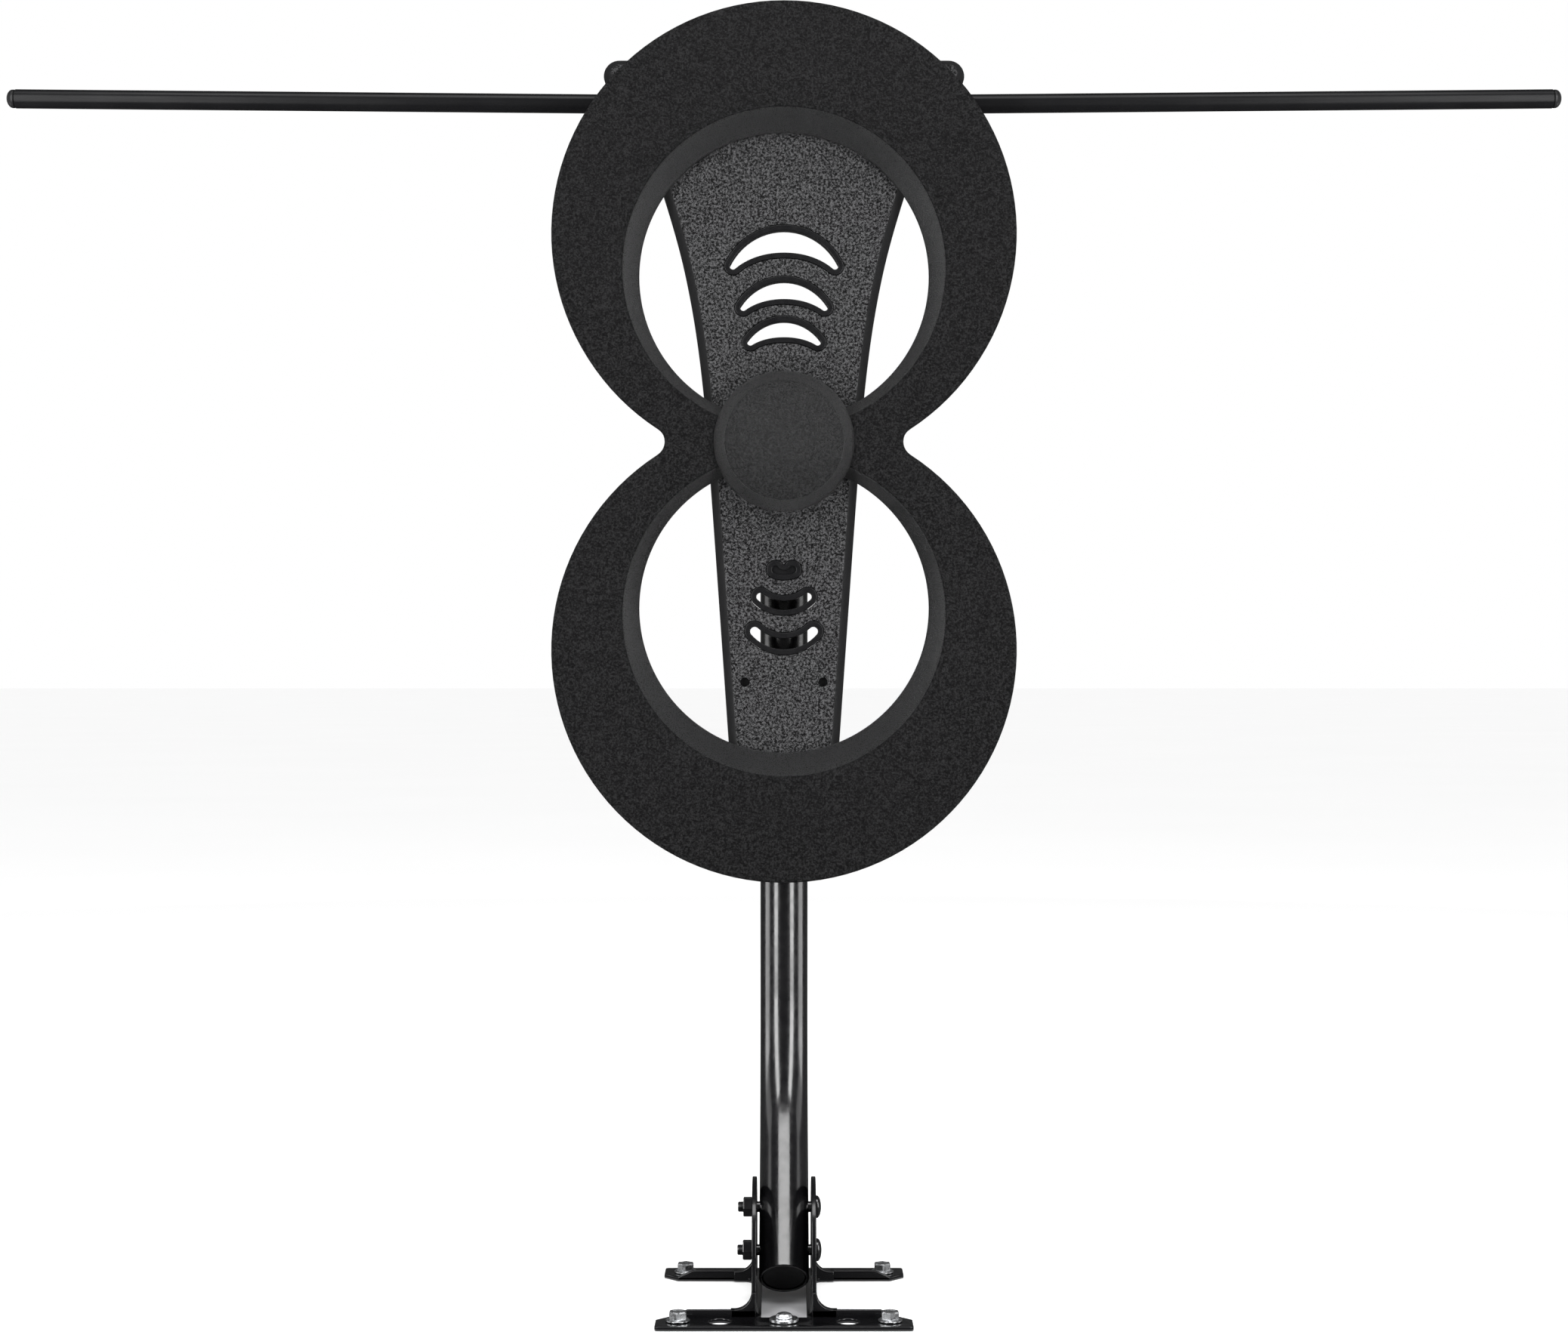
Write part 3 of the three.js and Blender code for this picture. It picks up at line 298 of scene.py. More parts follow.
def offset_loop(loop, distance):
    """The loop moved outwards by a distance along its corner normals."""
    loop = turned_way(loop, True)
    moved = []
    for before, here, after in zip(loop[-1:] + loop[:-1], loop, loop[1:] + loop[:1]):
        way_in = (Vector(here) - Vector(before)).normalized()
        way_out = (Vector(after) - Vector(here)).normalized()
        normal = Vector((way_in.y + way_out.y, -way_in.x - way_out.x)).normalized()
        reach = distance / max(0.4, normal.dot(Vector((way_in.y, -way_in.x))))
        moved.append((here[0] + normal.x * reach, here[1] + normal.y * reach))
    return moved


PLANES = {
    "XZ": lambda u, v, w: Vector((u, w, v)),
    "YZ": lambda u, v, w: Vector((w, u, v)),
    "XY": lambda u, v, w: Vector((u, v, w)),
}


def dress(name, mesh, materials, body, nodes=(), angle=32):
    """Links a mesh as a piece: smooth shading, materials, the body it rides and what it stands for."""
    mesh.name = name
    for polygon in mesh.polygons:
        polygon.use_smooth = True
    mesh.set_sharp_from_angle(angle=math.radians(angle))
    for material in materials:
        mesh.materials.append(material)
    piece = bpy.data.objects.new(name, mesh)
    bpy.context.scene.collection.objects.link(piece)
    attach(piece, body)
    if nodes:
        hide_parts(*nodes)
    return piece


def closed_mesh(bm):
    """Welds and orients a bmesh and returns it as a mesh in metres."""
    bmesh.ops.remove_doubles(bm, verts=bm.verts, dist=0.002)
    bmesh.ops.dissolve_degenerate(bm, edges=bm.edges, dist=0.001)
    bmesh.ops.recalc_face_normals(bm, faces=bm.faces)
    bmesh.ops.scale(bm, vec=(MM, MM, MM), verts=bm.verts)
    mesh = bpy.data.meshes.new("piece")
    bm.to_mesh(mesh)
    bm.free()
    return mesh


def add_slab(bm, loops, plane, low, high, bevel=0.0, rounds=2):
    """Adds a flat outline with holes, carried between two depths, with rounded edges."""
    curve = bpy.data.curves.new("slab", "CURVE")
    curve.dimensions = "2D"
    curve.fill_mode = "BOTH"
    curve.extrude = (high - low) / 2 - bevel
    curve.bevel_depth = bevel
    curve.bevel_resolution = rounds
    for number, loop in enumerate(loops):
        inset = offset_loop(loop, -bevel if number == 0 else bevel) if bevel else loop
        spline = curve.splines.new("POLY")
        points = turned_way(inset, number == 0)
        spline.points.add(len(points) - 1)
        for point, (u, v) in zip(spline.points, points):
            point.co = (u, v, 0, 1)
        spline.use_cyclic_u = True
    holder = bpy.data.objects.new("slab", curve)
    bpy.context.scene.collection.objects.link(holder)
    bpy.context.view_layer.update()
    flat = bpy.data.meshes.new_from_object(holder.evaluated_get(bpy.context.evaluated_depsgraph_get()))
    place = PLANES[plane]
    middle = (low + high) / 2
    for vertex in flat.vertices:
        u, v, w = vertex.co
        vertex.co = place(u, v, w + middle)
    bm.from_mesh(flat)
    bpy.data.objects.remove(holder)
    bpy.data.curves.remove(curve)
    bpy.data.meshes.remove(flat)


def frame_for(axis):
    """Two directions across an axis."""
    axis = axis.normalized()
    helper = Z_AXIS if abs(axis.z) < 0.9 else X_AXIS
    side = axis.cross(helper).normalized()
    return side, axis.cross(side).normalized()


def add_rings(bm, rings, closed=False, tags=None):
    """Adds a skin over rings of points; a ring of one point is a pole."""
    made = [[bm.verts.new(point) for point in ring] for ring in rings]
    pairs = list(zip(made, made[1:]))
    if closed:
        pairs.append((made[-1], made[0]))
    for number, (low, high) in enumerate(pairs):
        count = max(len(low), len(high))
        for i in range(count):
            j = (i + 1) % count
            if len(low) == 1:
                corners = (low[0], high[j], high[i])
            elif len(high) == 1:
                corners = (low[i], low[j], high[0])
            else:
                corners = (low[i], low[j], high[j], high[i])
            face = bm.faces.new(corners)
            if tags:
                face.material_index = tags[number]


def add_lathe(bm, profile, origin, axis, steps=64, tags=None):
    """Adds a profile of (radius, height) points turned about an axis."""
    side, up = frame_for(axis)
    axis = axis.normalized()
    rings = []
    for radius, height in profile:
        centre = origin + axis * height
        if radius < 1e-6:
            rings.append([centre])
            continue
        turns = [2 * math.pi * i / steps for i in range(steps)]
        rings.append([centre + (side * math.cos(a) + up * math.sin(a)) * radius for a in turns])
    closed = profile[0][0] > 1e-6 and profile[-1][0] > 1e-6
    add_rings(bm, rings, closed, tags)


def add_prism(bm, flats, sides, low, high, origin, axis, chamfer=0.0):
    """Adds a hexagon bar with chamfered corners, as on a nut or a screw head."""
    radius = flats / 2 / math.cos(math.pi / sides)
    profile = [(0, low), (radius - chamfer, low), (radius, low + chamfer), (radius, high - chamfer),
               (radius - chamfer, high), (0, high)]
    add_lathe(bm, profile, origin, axis, sides)


def piece_from(name, build, materials, body, nodes=(), angle=32):
    bm = bmesh.new()
    build(bm)
    return dress(name, closed_mesh(bm), materials, body, nodes, angle)


# ---------------------------------------------------------------- loop pair


def figure_eight(inset=0.0, steps=96):
    disc, waist = LOOP_R - inset, WAIST_R + inset
    waist_x = math.sqrt((disc + waist) ** 2 - LOOP_OFFSET ** 2)
    lean = math.atan2(LOOP_OFFSET, waist_x)
    top, bottom = HUB_Z + LOOP_OFFSET, HUB_Z - LOOP_OFFSET
    loop = arc(0, top, disc, -lean, math.pi + lean, steps)
    loop += arc(-waist_x, HUB_Z, waist, lean, -lean, 10)[1:-1]
    loop += arc(0, bottom, disc, math.pi - lean, 2 * math.pi + lean, steps)
    loop += arc(waist_x, HUB_Z, waist, math.pi + lean, math.pi - lean, 10)[1:-1]
    return loop


def build_loop_face(bm):
    holes = [circle(0, HUB_Z + side * BEVEL_OFFSET, BEVEL_R, 128) for side in (1, -1)]
    add_slab(bm, [figure_eight()] + holes, "XZ", LOOP_FRONT, LOOP_REAR, 1.1, 3)


def bevel_ring(radius, offset, y, side, steps=128):
    return [Vector((u, y, v)) for u, v in circle(0, HUB_Z + side * offset, radius, steps)]


def build_bevel(side):
    def build(bm):
        lean = 0.35
        rings = [
            bevel_ring(BEVEL_R + 1.4, BEVEL_OFFSET, LOOP_FRONT + 1.2, side),
            bevel_ring(BEVEL_R + 0.5, BEVEL_OFFSET, LOOP_FRONT + lean, side),
            bevel_ring(BEVEL_R - 0.4, BEVEL_OFFSET - 0.1, LOOP_FRONT + 0.75, side),
            bevel_ring(HOLE_R + 0.9, HOLE_OFFSET + 0.3, LOOP_REAR - 1.1, side),
            bevel_ring(HOLE_R + 0.2, HOLE_OFFSET + 0.05, LOOP_REAR - 0.3, side),
            bevel_ring(HOLE_R, HOLE_OFFSET, LOOP_REAR + 0.6, side),
            bevel_ring(HOLE_R + 2.0, HOLE_OFFSET, LOOP_REAR + 0.6, side),
        ]
        add_rings(bm, rings, closed=True)

    return build


def build_loop_rear(bm):
    holes = [circle(0, HUB_Z + side * HOLE_OFFSET, HOLE_R + 0.1, 128) for side in (1, -1)]
    add_slab(bm, [figure_eight(0.8)] + holes, "XZ", LOOP_REAR + 0.3, 44.0, 0.5, 2)
    for side in (1, -1):
        for turn in range(10):
            angle = 2 * math.pi * (turn + 0.5) / 10
            centre = Vector((107 * math.cos(angle), 0, HUB_Z + side * 108 + 107 * math.sin(angle)))
            if abs(centre.z - HUB_Z) > 40:
                button = [(0, 43.5), (3.2, 43.5), (3.2, 44.0), (2.4, 44.5), (0, 44.5)]
                add_lathe(bm, button, centre, Y_AXIS, 24)


piece_from("loop_face", build_loop_face, [LOOP_GRAIN], "head", ["loop_cover_front"])
piece_from("loop_bevel_upper", build_bevel(1), [BEVEL_PLASTIC], "head")
piece_from("loop_bevel_lower", build_bevel(-1), [BEVEL_PLASTIC], "head")
piece_from("loop_back", build_loop_rear, [LOOP_GRAIN], "head", ["loop_cover_rear"])

# ---------------------------------------------------------------- hub cap


def build_hub(bm):
    rim = LOOP_FRONT - GAP
    front = HUB_FRONT
    dome = [(r, front + r * r / (2 * HUB_DOME_R)) for r in (HUB_FACE_R * i / 16 for i in range(17))]
    lip = dome[-1][1]
    rounded = [(HUB_FACE_R + 0.3, lip - 0.15), (HUB_FACE_R + 0.8, lip + 0.1), (HUB_FACE_R + 1.2, lip + 0.5)]
    side = [(38.3, lip + 3.9), (39.1, lip + 4.8), (39.6, lip + 5.6), (HUB_R, lip + 6.2), (HUB_R, rim - 0.3)]
    back = [(39.4, rim), (37.5, rim), (37.5, front + 12.2), (32.5, front + 9.4)]
    back += [(20, front + 5), (0, front + 2.6)]
    profile = dome + rounded + side + back
    tags = [0] * (len(dome) - 1) + [1] * (len(profile) - len(dome))
    add_lathe(bm, profile, Vector((0, 0, HUB_Z)), Y_AXIS, 128, tags)


piece_from("hub_dome", build_hub, [HUB_GRAIN, BEVEL_PLASTIC], "head", ["hub_cap"], 40)

# ---------------------------------------------------------------- backbone


def spline(points, steps):
    """A Catmull-Rom curve through the points."""
    result = []
    last = len(points) - 1
    for i in range(steps + 1):
        place = last * i / steps
        first = min(int(place), last - 1)
        t = place - first
        p0, p1 = points[max(first - 1, 0)], points[first]
        p2, p3 = points[first + 1], points[min(first + 2, last)]
        blend = []
        for a, b, c, d in zip(p0, p1, p2, p3):
            v0, v1 = (c - a) / 2, (d - b) / 2
            cubic = (2 * b - 2 * c + v0 + v1) * t ** 3
            square = (-3 * b + 3 * c - 2 * v0 - v1) * t ** 2
            blend.append(cubic + square + v0 * t + b)
        result.append(tuple(blend))
    return result


def backbone_outline():
    right = spline(HALF_WIDTHS, 60)
    right += arc(EAR_X, EAR_Z, EAR_R, -math.pi / 3, math.pi / 2, 16)
    return right + [(-u, v) for u, v in reversed(right)]


def arc_over(half, end, middle, steps=24):
    rise = middle - end
    centre = end + (rise * rise - half * half) / (2 * rise)
    finish = math.atan2(end - centre, half)
    start = math.copysign(math.pi, rise) - finish
    return arc(0, centre, abs(middle - centre), start, finish, steps)


def crescent(slot, grow=0.0):
    """A banana-shaped opening with round tips, grown evenly when asked."""
    half, inner, tip, far, near = slot
    thin, waist = (half - inner) / 2, abs(far - near) / 2
    line = arc_over((half + inner) / 2, tip, (far + near) / 2)
    if line[0][0] > 0:
        line = line[::-1]
    last = len(line) - 1
    outwards = math.copysign(1, far - near)
    upper, lower, tips = [], [], []
    for i, (u, v) in enumerate(line):
        du = line[min(i + 1, last)][0] - line[max(i - 1, 0)][0]
        dv = line[min(i + 1, last)][1] - line[max(i - 1, 0)][1]
        size = math.hypot(du, dv)
        tangent, normal = (du / size, dv / size), (-outwards * dv / size, outwards * du / size)
        reach = thin + (waist - thin) * math.sin(math.pi * i / last) + grow
        upper.append((u + normal[0] * reach, v + normal[1] * reach))
        lower.append((u - normal[0] * reach, v - normal[1] * reach))
        if i in (0, last):
            way = 1 if i else -1
            cap = []
            for step in range(1, 12):
                along = way * reach * math.sin(math.pi * step / 12)
                aside = way * reach * math.cos(math.pi * step / 12)
                shift_u = tangent[0] * along + normal[0] * aside
                shift_v = tangent[1] * along + normal[1] * aside
                cap.append((u + shift_u, v + shift_v))
            tips.append(cap)
    return turned_way(upper + tips[1] + lower[::-1] + tips[0], True)


CLAMP_HOLES = [circle(side * CLAMP_BOLT_X, CLAMP_Z, 2.6, 32) for side in (-1, 1)]


def build_back_face(bm):
    face = offset_loop(backbone_outline(), -DRAFT)
    holes = [crescent(slot, RIM) for slot in CRESCENTS + [BLIND_CRESCENT]]
    add_slab(bm, [face] + holes + CLAMP_HOLES, "XZ", BACK_FRONT, BACK_FRONT + 2.4, 0.5, 2)


def build_slot_rims(bm):
    for slot in CRESCENTS:
        outer, inner = crescent(slot, RIM - 0.25), crescent(slot)
        add_slab(bm, [outer, inner], "XZ", BACK_FRONT - 0.2, BACK_FRONT + SLOT_DEPTH, 0.45, 3)
    pad = crescent(BLIND_CRESCENT, RIM - 0.25)
    add_slab(bm, [pad, crescent(BLIND_CRESCENT)], "XZ", BACK_FRONT - 0.2, BACK_FRONT + 2.2, 0.45, 3)
    # The floor of the blind crescent, in the darker black that paints shade into the recess.
    add_slab(bm, [crescent(BLIND_CRESCENT, 1.0)], "XZ", BACK_FRONT + 1.6, BACK_FRONT + 2.4)
    for side in (-1, 1):
        add_slab(bm, [circle(side * CLAMP_BOLT_X, CLAMP_Z, 4.0)], "XZ", BACK_FRONT + 3.6, BACK_FRONT + 4.4)


def wall_ring(inset, y):
    return [Vector((u, y, v)) for u, v in offset_loop(backbone_outline(), -inset)]


def build_back_walls(bm):
    turn = BACK_FRONT + DRAFT_DEPTH
    rings = [
        wall_ring(DRAFT, BACK_FRONT + 0.5),
        wall_ring(DRAFT - 0.35, BACK_FRONT + 0.9),
        wall_ring(0.15, turn - 0.5),
        wall_ring(0.0, turn + 0.3),
        wall_ring(0.0, BACK_JOINT - 0.3),
        wall_ring(0.3, BACK_JOINT),
        wall_ring(2.2, BACK_JOINT),
        wall_ring(2.4, turn),
        wall_ring(DRAFT + 1.6, BACK_FRONT + 1.2),
    ]
    add_rings(bm, rings, closed=True)


def build_back_rear(bm):
    holes = [crescent(slot, SLOT_BACK) for slot in CRESCENTS] + CLAMP_HOLES
    add_slab(bm, [backbone_outline()] + holes, "XZ", BACK_JOINT + GAP, BACK_REAR, 0.8, 3)


piece_from("backbone_face", build_back_face, [BACK_GRAIN], "head", ["backbone_front"])
piece_from("backbone_slot_rims", build_slot_rims, [RIM_PAINTED_SHADE], "head")
piece_from("backbone_walls", build_back_walls, [SMOOTH], "head")
piece_from("backbone_back", build_back_rear, [BACK_GRAIN], "head", ["backbone_rear"])

# ---------------------------------------------------------------- mast

SLOPE_WAY = Vector((0, math.cos(SLOPE), math.sin(SLOPE)))
MAST_FOOT = Vector((0, 0, PIVOT_Z)) - SLOPE_WAY * BELOW_PIVOT
BEND_CENTRE = MAST_FOOT + SLOPE_WAY * SLOPE_LENGTH + Vector((0, -math.sin(SLOPE), math.cos(SLOPE))) * BEND_R
MAST_Y = BEND_CENTRE.y + BEND_R


def mast_stations():
    stations = [(MAST_FOOT, SLOPE_WAY)]
    for i in range(33):
        angle = -SLOPE + SLOPE * i / 32
        spoke = Vector((0, math.cos(angle), math.sin(angle)))
        stations.append((BEND_CENTRE + spoke * BEND_R, Vector((0, -math.sin(angle), math.cos(angle)))))
    stations.append((Vector((0, MAST_Y, MAST_TOP)), Z_AXIS))
    return stations


def mast_ring(centre, way, radius, steps=72):
    across = X_AXIS.cross(way)
    turns = [2 * math.pi * i / steps for i in range(steps)]
    return [centre + (X_AXIS * math.cos(a) + across * math.sin(a)) * radius for a in turns]


def build_mast(bm):
    stations = mast_stations()
    bore = MAST_R - MAST_WALL
    low, low_way = stations[0]
    high, high_way = stations[-1]
    rings = [mast_ring(low, low_way, MAST_R - 0.4)]
    rings.append(mast_ring(low + low_way * 0.4, low_way, MAST_R))
    rings += [mast_ring(centre, way, MAST_R) for centre, way in stations[1:]]
    rings.append(mast_ring(high, high_way, bore))
    rings += [mast_ring(centre, way, bore) for centre, way in reversed(stations[1:-1])]
    rings.append(mast_ring(low + low_way * 0.3, low_way, bore))
    rings.append(mast_ring(low, low_way, bore + 0.3))
    add_rings(bm, rings, closed=True)


def build_mast_plug(bm):
    profile = [(0, 1.2), (10.4, 1.2), (11.3, 0.9), (11.85, 1.3), (11.85, 8), (0, 8)]
    add_lathe(bm, profile, MAST_FOOT, SLOPE_WAY, 64)


def build_mast_cap(bm):
    plug = MAST_R - MAST_WALL - GAP
    top = MAST_TOP
    profile = [(0, top - 9), (plug, top - 9), (plug, top + GAP), (MAST_R, top + GAP), (MAST_R, top + 2)]
    profile += [(MAST_R - 0.5, top + 2.8), (MAST_R - 2, top + 3.4), (MAST_R - 6, top + 3.8), (0, top + 4)]
    add_lathe(bm, profile, Vector((0, MAST_Y, 0)), Z_AXIS, 64)


piece_from("mast", build_mast, [GLOSS], "mast", ["mast_tube"])
piece_from("mast_plug", build_mast_plug, [SMOOTH], "mast", ["mast_bottom_plug"])
piece_from("mast_cap", build_mast_cap, [SMOOTH], "mast", ["mast_top_cap"])

# ---------------------------------------------------------------- cross bolts through the foot

BOLT_R, NUT_LENGTH, THREAD_PROUD = 3.0, 5.0, 3.0


def thread(radius, start, end, pitch=0.9):
    """A ridged profile between two heights, as a cut thread looks side on."""
    points = []
    count = int((end - start) / pitch)
    for i in range(count):
        height = start + i * pitch
        points += [(radius - 0.35, height), (radius, height + pitch / 2)]
    return points + [(radius - 0.35, end)]


def build_cross_bolt(y, z):
    def build(bm):
        seat = CHEEK_X + GAP
        tip = -seat - NUT_LENGTH - THREAD_PROUD
        profile = [(0, tip), (BOLT_R - 0.7, tip)] + thread(BOLT_R, tip + 0.4, -seat + 2)
        profile += [(BOLT_R, -seat + 2.4), (BOLT_R, seat), (6.2, seat), (6.3, seat + 0.3)]
        for angle in (0.25, 0.55, 0.85, 1.15, 1.4):
            profile.append((6.3 * math.cos(angle), seat + 0.5 + 2.5 * math.sin(angle)))
        profile.append((0, seat + 3))
        add_lathe(bm, profile, Vector((0, y, z)), X_AXIS, 48)

    return build


def build_cross_nut(y, z):
    def build(bm):
        seat = CHEEK_X + GAP
        add_prism(bm, 10, 6, -seat - NUT_LENGTH, -seat, Vector((0, y, z)), X_AXIS, 0.5)

    return build


LOCK = LOCK_R * math.sin(SLOPE)
for label, body, y, z in (("pivot", "foot", 0, PIVOT_Z), ("lock", "mast", LOCK, PIVOT_Z + LOCK)):
    piece_from(f"{label}_carriage_bolt", build_cross_bolt(y, z), [GLOSS], body, [f"{label}_bolt"])
    piece_from(f"{label}_hex_nut", build_cross_nut(y, z), [GLOSS], body, [f"{label}_nut"])

# ---------------------------------------------------------------- foot


def plate_outline():
    cut, root_r = 8.0, 9.0
    root = CHEEK_X + root_r
    corner = arc(FOOT_X - 2, -FOOT_Y + 2, 2, -math.pi / 2, 0, 6)
    corner += [(FOOT_X, -ARM_IN - cut), (FOOT_X - cut, -ARM_IN)]
    corner += arc(root, root_r - ARM_IN, root_r, -math.pi / 2, -math.pi, 10)
    right = corner + [(u, -v) for u, v in reversed(corner)]
    return right + [(-u, v) for u, v in reversed(right)]


def cheek_outline():
    return [(-46.0, 0), (46.0, 0)] + arc(0, PIVOT_Z, 40.0, 0, math.pi, 64)


def web_outline(side):
    """The rounded web that carries an arm's upturned edge into the cheek."""
    centre_x, centre_z = CHEEK_X + WEB_R, 6.2 + WEB_R
    loop = [(CHANNEL_X, 0.6), (centre_x + 2, 0.6), (centre_x + 2, 6.2)]
    loop += arc(centre_x, centre_z, WEB_R, -math.pi / 2, -math.pi, 14)
    loop.append((CHANNEL_X, centre_z))
    return [(side * u, v) for u, v in loop]


def lock_slot():
    outer, inner, end = LOCK_R + 3.3, LOCK_R - 3.3, math.pi / 4
    reach = LOCK_R * math.sin(end)
    loop = arc(0, PIVOT_Z, outer, end, math.pi - end, 32)
    loop += arc(-reach, PIVOT_Z + reach, 3.3, math.pi - end, 2 * math.pi - end, 12)[1:-1]
    loop += arc(0, PIVOT_Z, inner, math.pi - end, end, 32)
    loop += arc(reach, PIVOT_Z + reach, 3.3, end - math.pi, end, 12)[1:-1]
    return loop


def build_foot(bm):
    holes = []
    for side in (-1, 1):
        for end in (-1, 1):
            holes.append(circle(side * SCREW_X, end * SCREW_Y, 3.3, 32))
            holes.append(circle(side * SLOT_X, end * SCREW_Y, 6.2, 48))
    holes += [circle(0, end * SCREW_Y, 3.3, 32) for end in (-1, 1)]
    add_slab(bm, [plate_outline()] + holes, "XY", 0, SHEET, 0.5, 3)
    lip_end, top = FOOT_X - 8.0, 6.2
    for side in (-1, 1):
        lip = [(side * CHANNEL_X, 0.6), (side * lip_end, 0.6), (side * lip_end, SHEET),
               (side * (lip_end - 8.7), top), (side * CHANNEL_X, top)]
        for end in (-1, 1):
            low = ARM_IN if end > 0 else -ARM_IN - SHEET
            add_slab(bm, [lip], "XZ", low, low + SHEET, 0.6, 3)
        inner, outer = sorted((side * CHANNEL_X, side * CHEEK_X))
        pivot_hole = circle(0, PIVOT_Z, 3.3, 32)
        add_slab(bm, [cheek_outline(), lock_slot(), pivot_hole], "YZ", inner, outer, 0.5, 3)
        for end in (-1, 1):
            low, high = sorted((end * (ARM_IN + SHEET - WEB_DEPTH), end * (ARM_IN + SHEET)))
            add_slab(bm, [web_outline(side)], "XZ", low, high, 0.6, 3)
        add_fillets(bm, side)


def add_fillets(bm, side):
    """The bend radius inside the channel, between its floor and the cheeks."""
    radius = 3.0
    bend = [(side * CHANNEL_X, SHEET - 0.2)]
    bend += arc(side * (CHANNEL_X - radius), SHEET + radius, radius, 0 if side > 0 else math.pi,
                -math.pi / 2 if side > 0 else 3 * math.pi / 2, 10)
    bend.append((side * (CHANNEL_X - radius), SHEET - 0.2))
    add_slab(bm, [bend], "XZ", -43.0, 43.0)


piece_from("foot_stamping", build_foot, [FOOT_GLOSS], "foot", ["foot_bracket"], 40)


def build_foot_screw(x, y):
    def build(bm):
        seat = SHEET + GAP
        origin = Vector((x, y, 0))
        profile = [(0, GAP), (2.4, GAP)] + thread(3.0, GAP + 0.3, seat) + [(6.2, seat), (6.45, seat + 0.25)]
        profile += [(6.45, seat + 0.6), (6.0, seat + 0.95), (4.9, seat + 1.5), (0, seat + 1.6)]
        add_lathe(bm, profile, origin, Z_AXIS, 48)
        low, high = seat + 1.2, seat + 5.2
        radius = 4.5 / math.cos(math.pi / 6)
        hexagon = [(0, low), (radius, low), (radius, high - 0.7), (radius - 0.6, high), (3.4, high)]
        hexagon += [(3.0, high - 0.3), (0, high - 0.35)]
        add_lathe(bm, hexagon, origin, Z_AXIS, 6)

    return build


CORNERS = {"front_left": (-1, -1), "front_right": (1, -1), "rear_left": (-1, 1), "rear_right": (1, 1)}
for place, (side, end) in CORNERS.items():
    build = build_foot_screw(side * SCREW_X, end * SCREW_Y)
    piece_from(f"hex_screw_{place}", build, [ZINC], "foot", [f"foot_screw_{place}"])


def build_centre_washer(bm):
    low = SHEET + GAP
    profile = [(3.3, low), (7.6, low), (7.85, low + 0.3)]
    profile += [(7.85, low + 1.2), (7.6, low + 1.5), (3.3, low + 1.5)]
    add_lathe(bm, profile, Vector((0, -SCREW_Y, 0)), Z_AXIS, 64)


piece_from("dress_washer", build_centre_washer, [ZINC], "foot", ["centre_washer"])

# ---------------------------------------------------------------- dipole rods


def rod_frame(side):
    """The rod's pivot and the way it points."""
    return Vector((side * ROD_X, ROD_Y, ROD_Z)), Vector((side * math.cos(ROD_RISE), 0, math.sin(ROD_RISE)))


ROD_LENGTH = (ROD_TIP - ROD_X) / math.cos(ROD_RISE) - CAP_LENGTH


def build_rod(side):
    def build(bm):
        origin, way = rod_frame(side)
        bore = ROD_R - 0.9
        profile = [(bore, -ROD_TAIL), (ROD_R - 0.2, -ROD_TAIL), (ROD_R, 0.2 - ROD_TAIL)]
        profile += [(ROD_R, ROD_LENGTH * i / 8) for i in range(8)]
        profile += [(ROD_R, ROD_LENGTH - 0.3), (ROD_R - 0.3, ROD_LENGTH), (bore, ROD_LENGTH)]
        add_lathe(bm, profile, origin, way, 48)

    return build


def build_tip(side):
    def build(bm):
        origin, way = rod_frame(side)
        face = ROD_LENGTH + GAP
        radius, straight = ROD_R - 0.2, 1.2
        height = CAP_LENGTH - GAP - straight
        profile = [(0, face - 12), (4.3, face - 12), (4.3, face), (radius - 0.3, face), (radius, face + 0.3)]
        turns = [math.pi / 2 * i / 10 for i in range(10)]
        profile += [(radius * math.cos(a), face + straight + height * math.sin(a)) for a in turns]
        profile.append((0, face + straight + height))
        add_lathe(bm, profile, origin, way, 48)

    return build


for label, side in (("left", -1), ("right", 1)):
    body = f"rod_{label}"
    piece_from(f"dipole_{label}", build_rod(side), [ROD_SATIN], body, [f"rod_{label}"])
    cap_node = f"rod_tip_cap_{label}"
    piece_from(f"dipole_tip_{label}", build_tip(side), [SMOOTH], body, [cap_node])

# ---------------------------------------------------------------- CAD pieces that keep their shape

SLOT_MATERIALS = {
    "grained_plastic": BACK_GRAIN,
    "smooth_plastic": SMOOTH,
    STEEL_SLOT: GLOSS,
    "satin_black_rod": SATIN,
    "zinc": ZINC,
    "aluminium": ALUMINIUM,
    "circuit_board": BOARD,
}
for row in frame["record"]["subparts"]:
    node = bpy.data.objects.get(row["node"])
    if node is None or node.type != "MESH":
        continue
    node.data.materials.clear()
    node.data.materials.append(SLOT_MATERIALS[row["material_slot"]])

# ---------------------------------------------------------------- studio


def staged_floor():
    """A plain pale floor far wider than any view of the antenna."""
    material = Nodes("studio_white", Roughness=0.9)
    shade(material, material.noise(1.5), (0.93, 0.93, 0.93), (0.96, 0.96, 0.96))
    half = 40.0
    mesh = bpy.data.meshes.new("studio_floor")
    corners = [(-half, -half, 0), (half, -half, 0), (half, half, 0), (-half, half, 0)]
    mesh.from_pydata(corners, [], [(0, 1, 2, 3)])
    mesh.materials.append(material.material)
    floor = bpy.data.objects.new("studio_floor", mesh)
    bpy.context.scene.collection.objects.link(floor)


def soft_box(name, place, target, width, height, power):
    light = bpy.data.lights.new(name, "AREA")
    light.shape = "RECTANGLE"
    light.size, light.size_y = width, height
    light.energy = power
    lamp = bpy.data.objects.new(name, light)
    lamp.location = place
    lamp.rotation_euler = (Vector(target) - Vector(place)).to_track_quat("-Z", "Y").to_euler()
    bpy.context.scene.collection.objects.link(lamp)


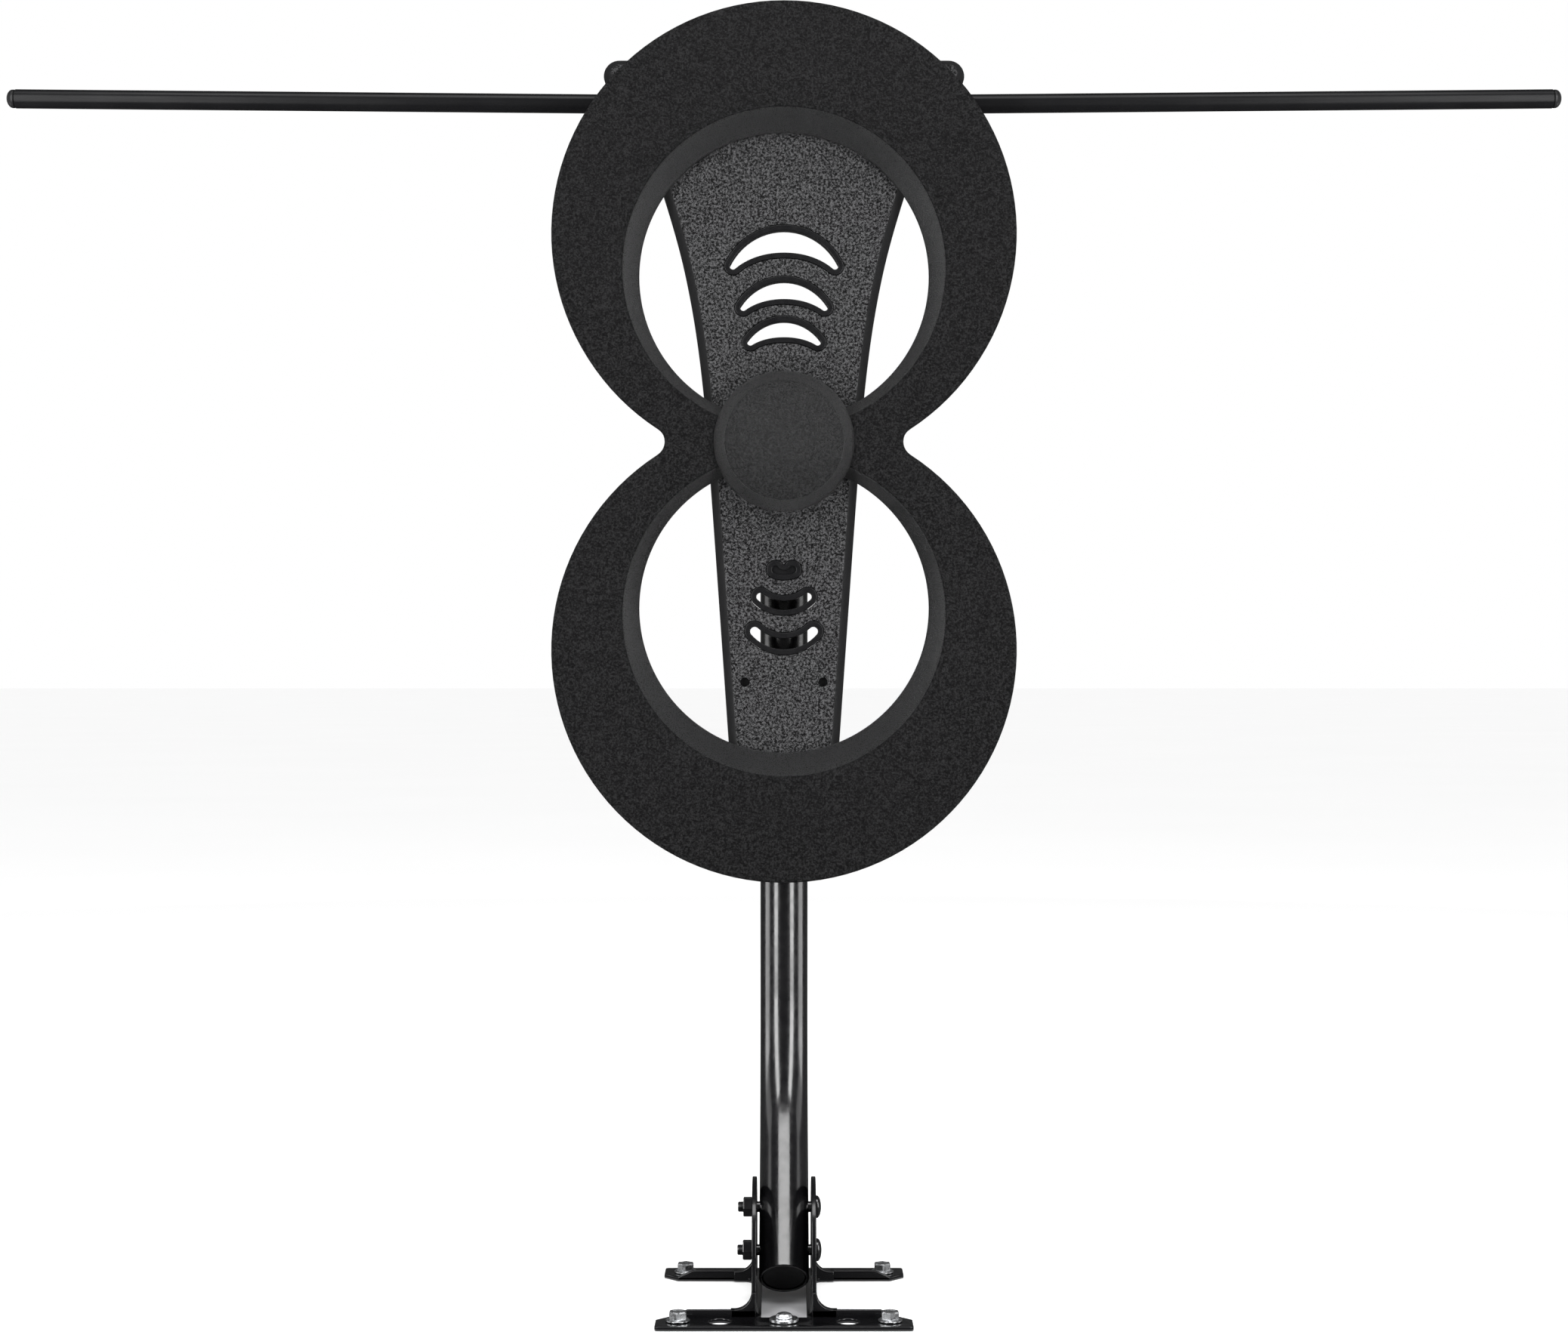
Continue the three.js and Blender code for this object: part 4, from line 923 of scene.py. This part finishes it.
def dark_flags():
    """Black studio cards all round, which only reflections see, so glossy edges read dark."""
    material = Nodes("flag_black", Roughness=1.0, Emission_Color=(1, 1, 1, 1), Emission_Strength=0.05)
    shade(material, material.noise(3.0), (0.010, 0.010, 0.010), (0.015, 0.015, 0.015))
    bm = bmesh.new()
    far, low, high = 2.6, 0.001, 2.8
    add_lathe(bm, [(0, low), (far, low), (far, high), (0, high)], Vector((0, 0, 0)), Z_AXIS, 48)
    mesh = bpy.data.meshes.new("dark_flags")
    bm.to_mesh(mesh)
    bm.free()
    mesh.materials.append(material.material)
    cards = bpy.data.objects.new("dark_flags", mesh)
    bpy.context.scene.collection.objects.link(cards)
    cards.visible_camera = False
    cards.visible_diffuse = False
    cards.visible_shadow = False
    cards.visible_transmission = False


def studio():
    staged_floor()
    dark_flags()
    world = bpy.data.worlds.new("studio_world")
    world.use_nodes = True
    world.node_tree.nodes["Background"].inputs["Color"].default_value = (1, 1, 1, 1)
    world.node_tree.nodes["Background"].inputs["Strength"].default_value = 1.0
    bpy.context.scene.world = world
    bpy.context.scene.view_settings.view_transform = "Standard"
    for side, label in ((-1, "left"), (1, "right")):
        soft_box(f"key_{label}", (side * 0.66, -0.74, 0.66), (0, 0.06, 0.62), 0.34, 1.25, 11)
        soft_box(f"low_{label}", (side * 0.85, 0.05, 0.16), (0, 0.04, 0.45), 0.4, 0.4, 1.6)
        soft_box(f"side_{label}", (side * 1.4, 0.2, 0.7), (0, 0.05, 0.5), 0.6, 1.0, 1.9)
    soft_box("top", (0, -0.5, 2.3), (0, 0.05, 0.45), 1.8, 0.8, 26)


def photo_camera():
    """Level with the lower loop, on the antenna's centre line."""
    data = bpy.data.cameras.new("photo_camera")
    data.sensor_width = 36
    data.lens = 60.93
    data.clip_start = 0.01
    data.clip_end = 100
    camera = bpy.data.objects.new("photo_camera", data)
    camera.location = (0, -1.468, 0.351)
    camera.rotation_euler = (math.pi / 2, 0, 0)
    bpy.context.scene.collection.objects.link(camera)
    bpy.context.scene.camera = camera


studio()
photo_camera()
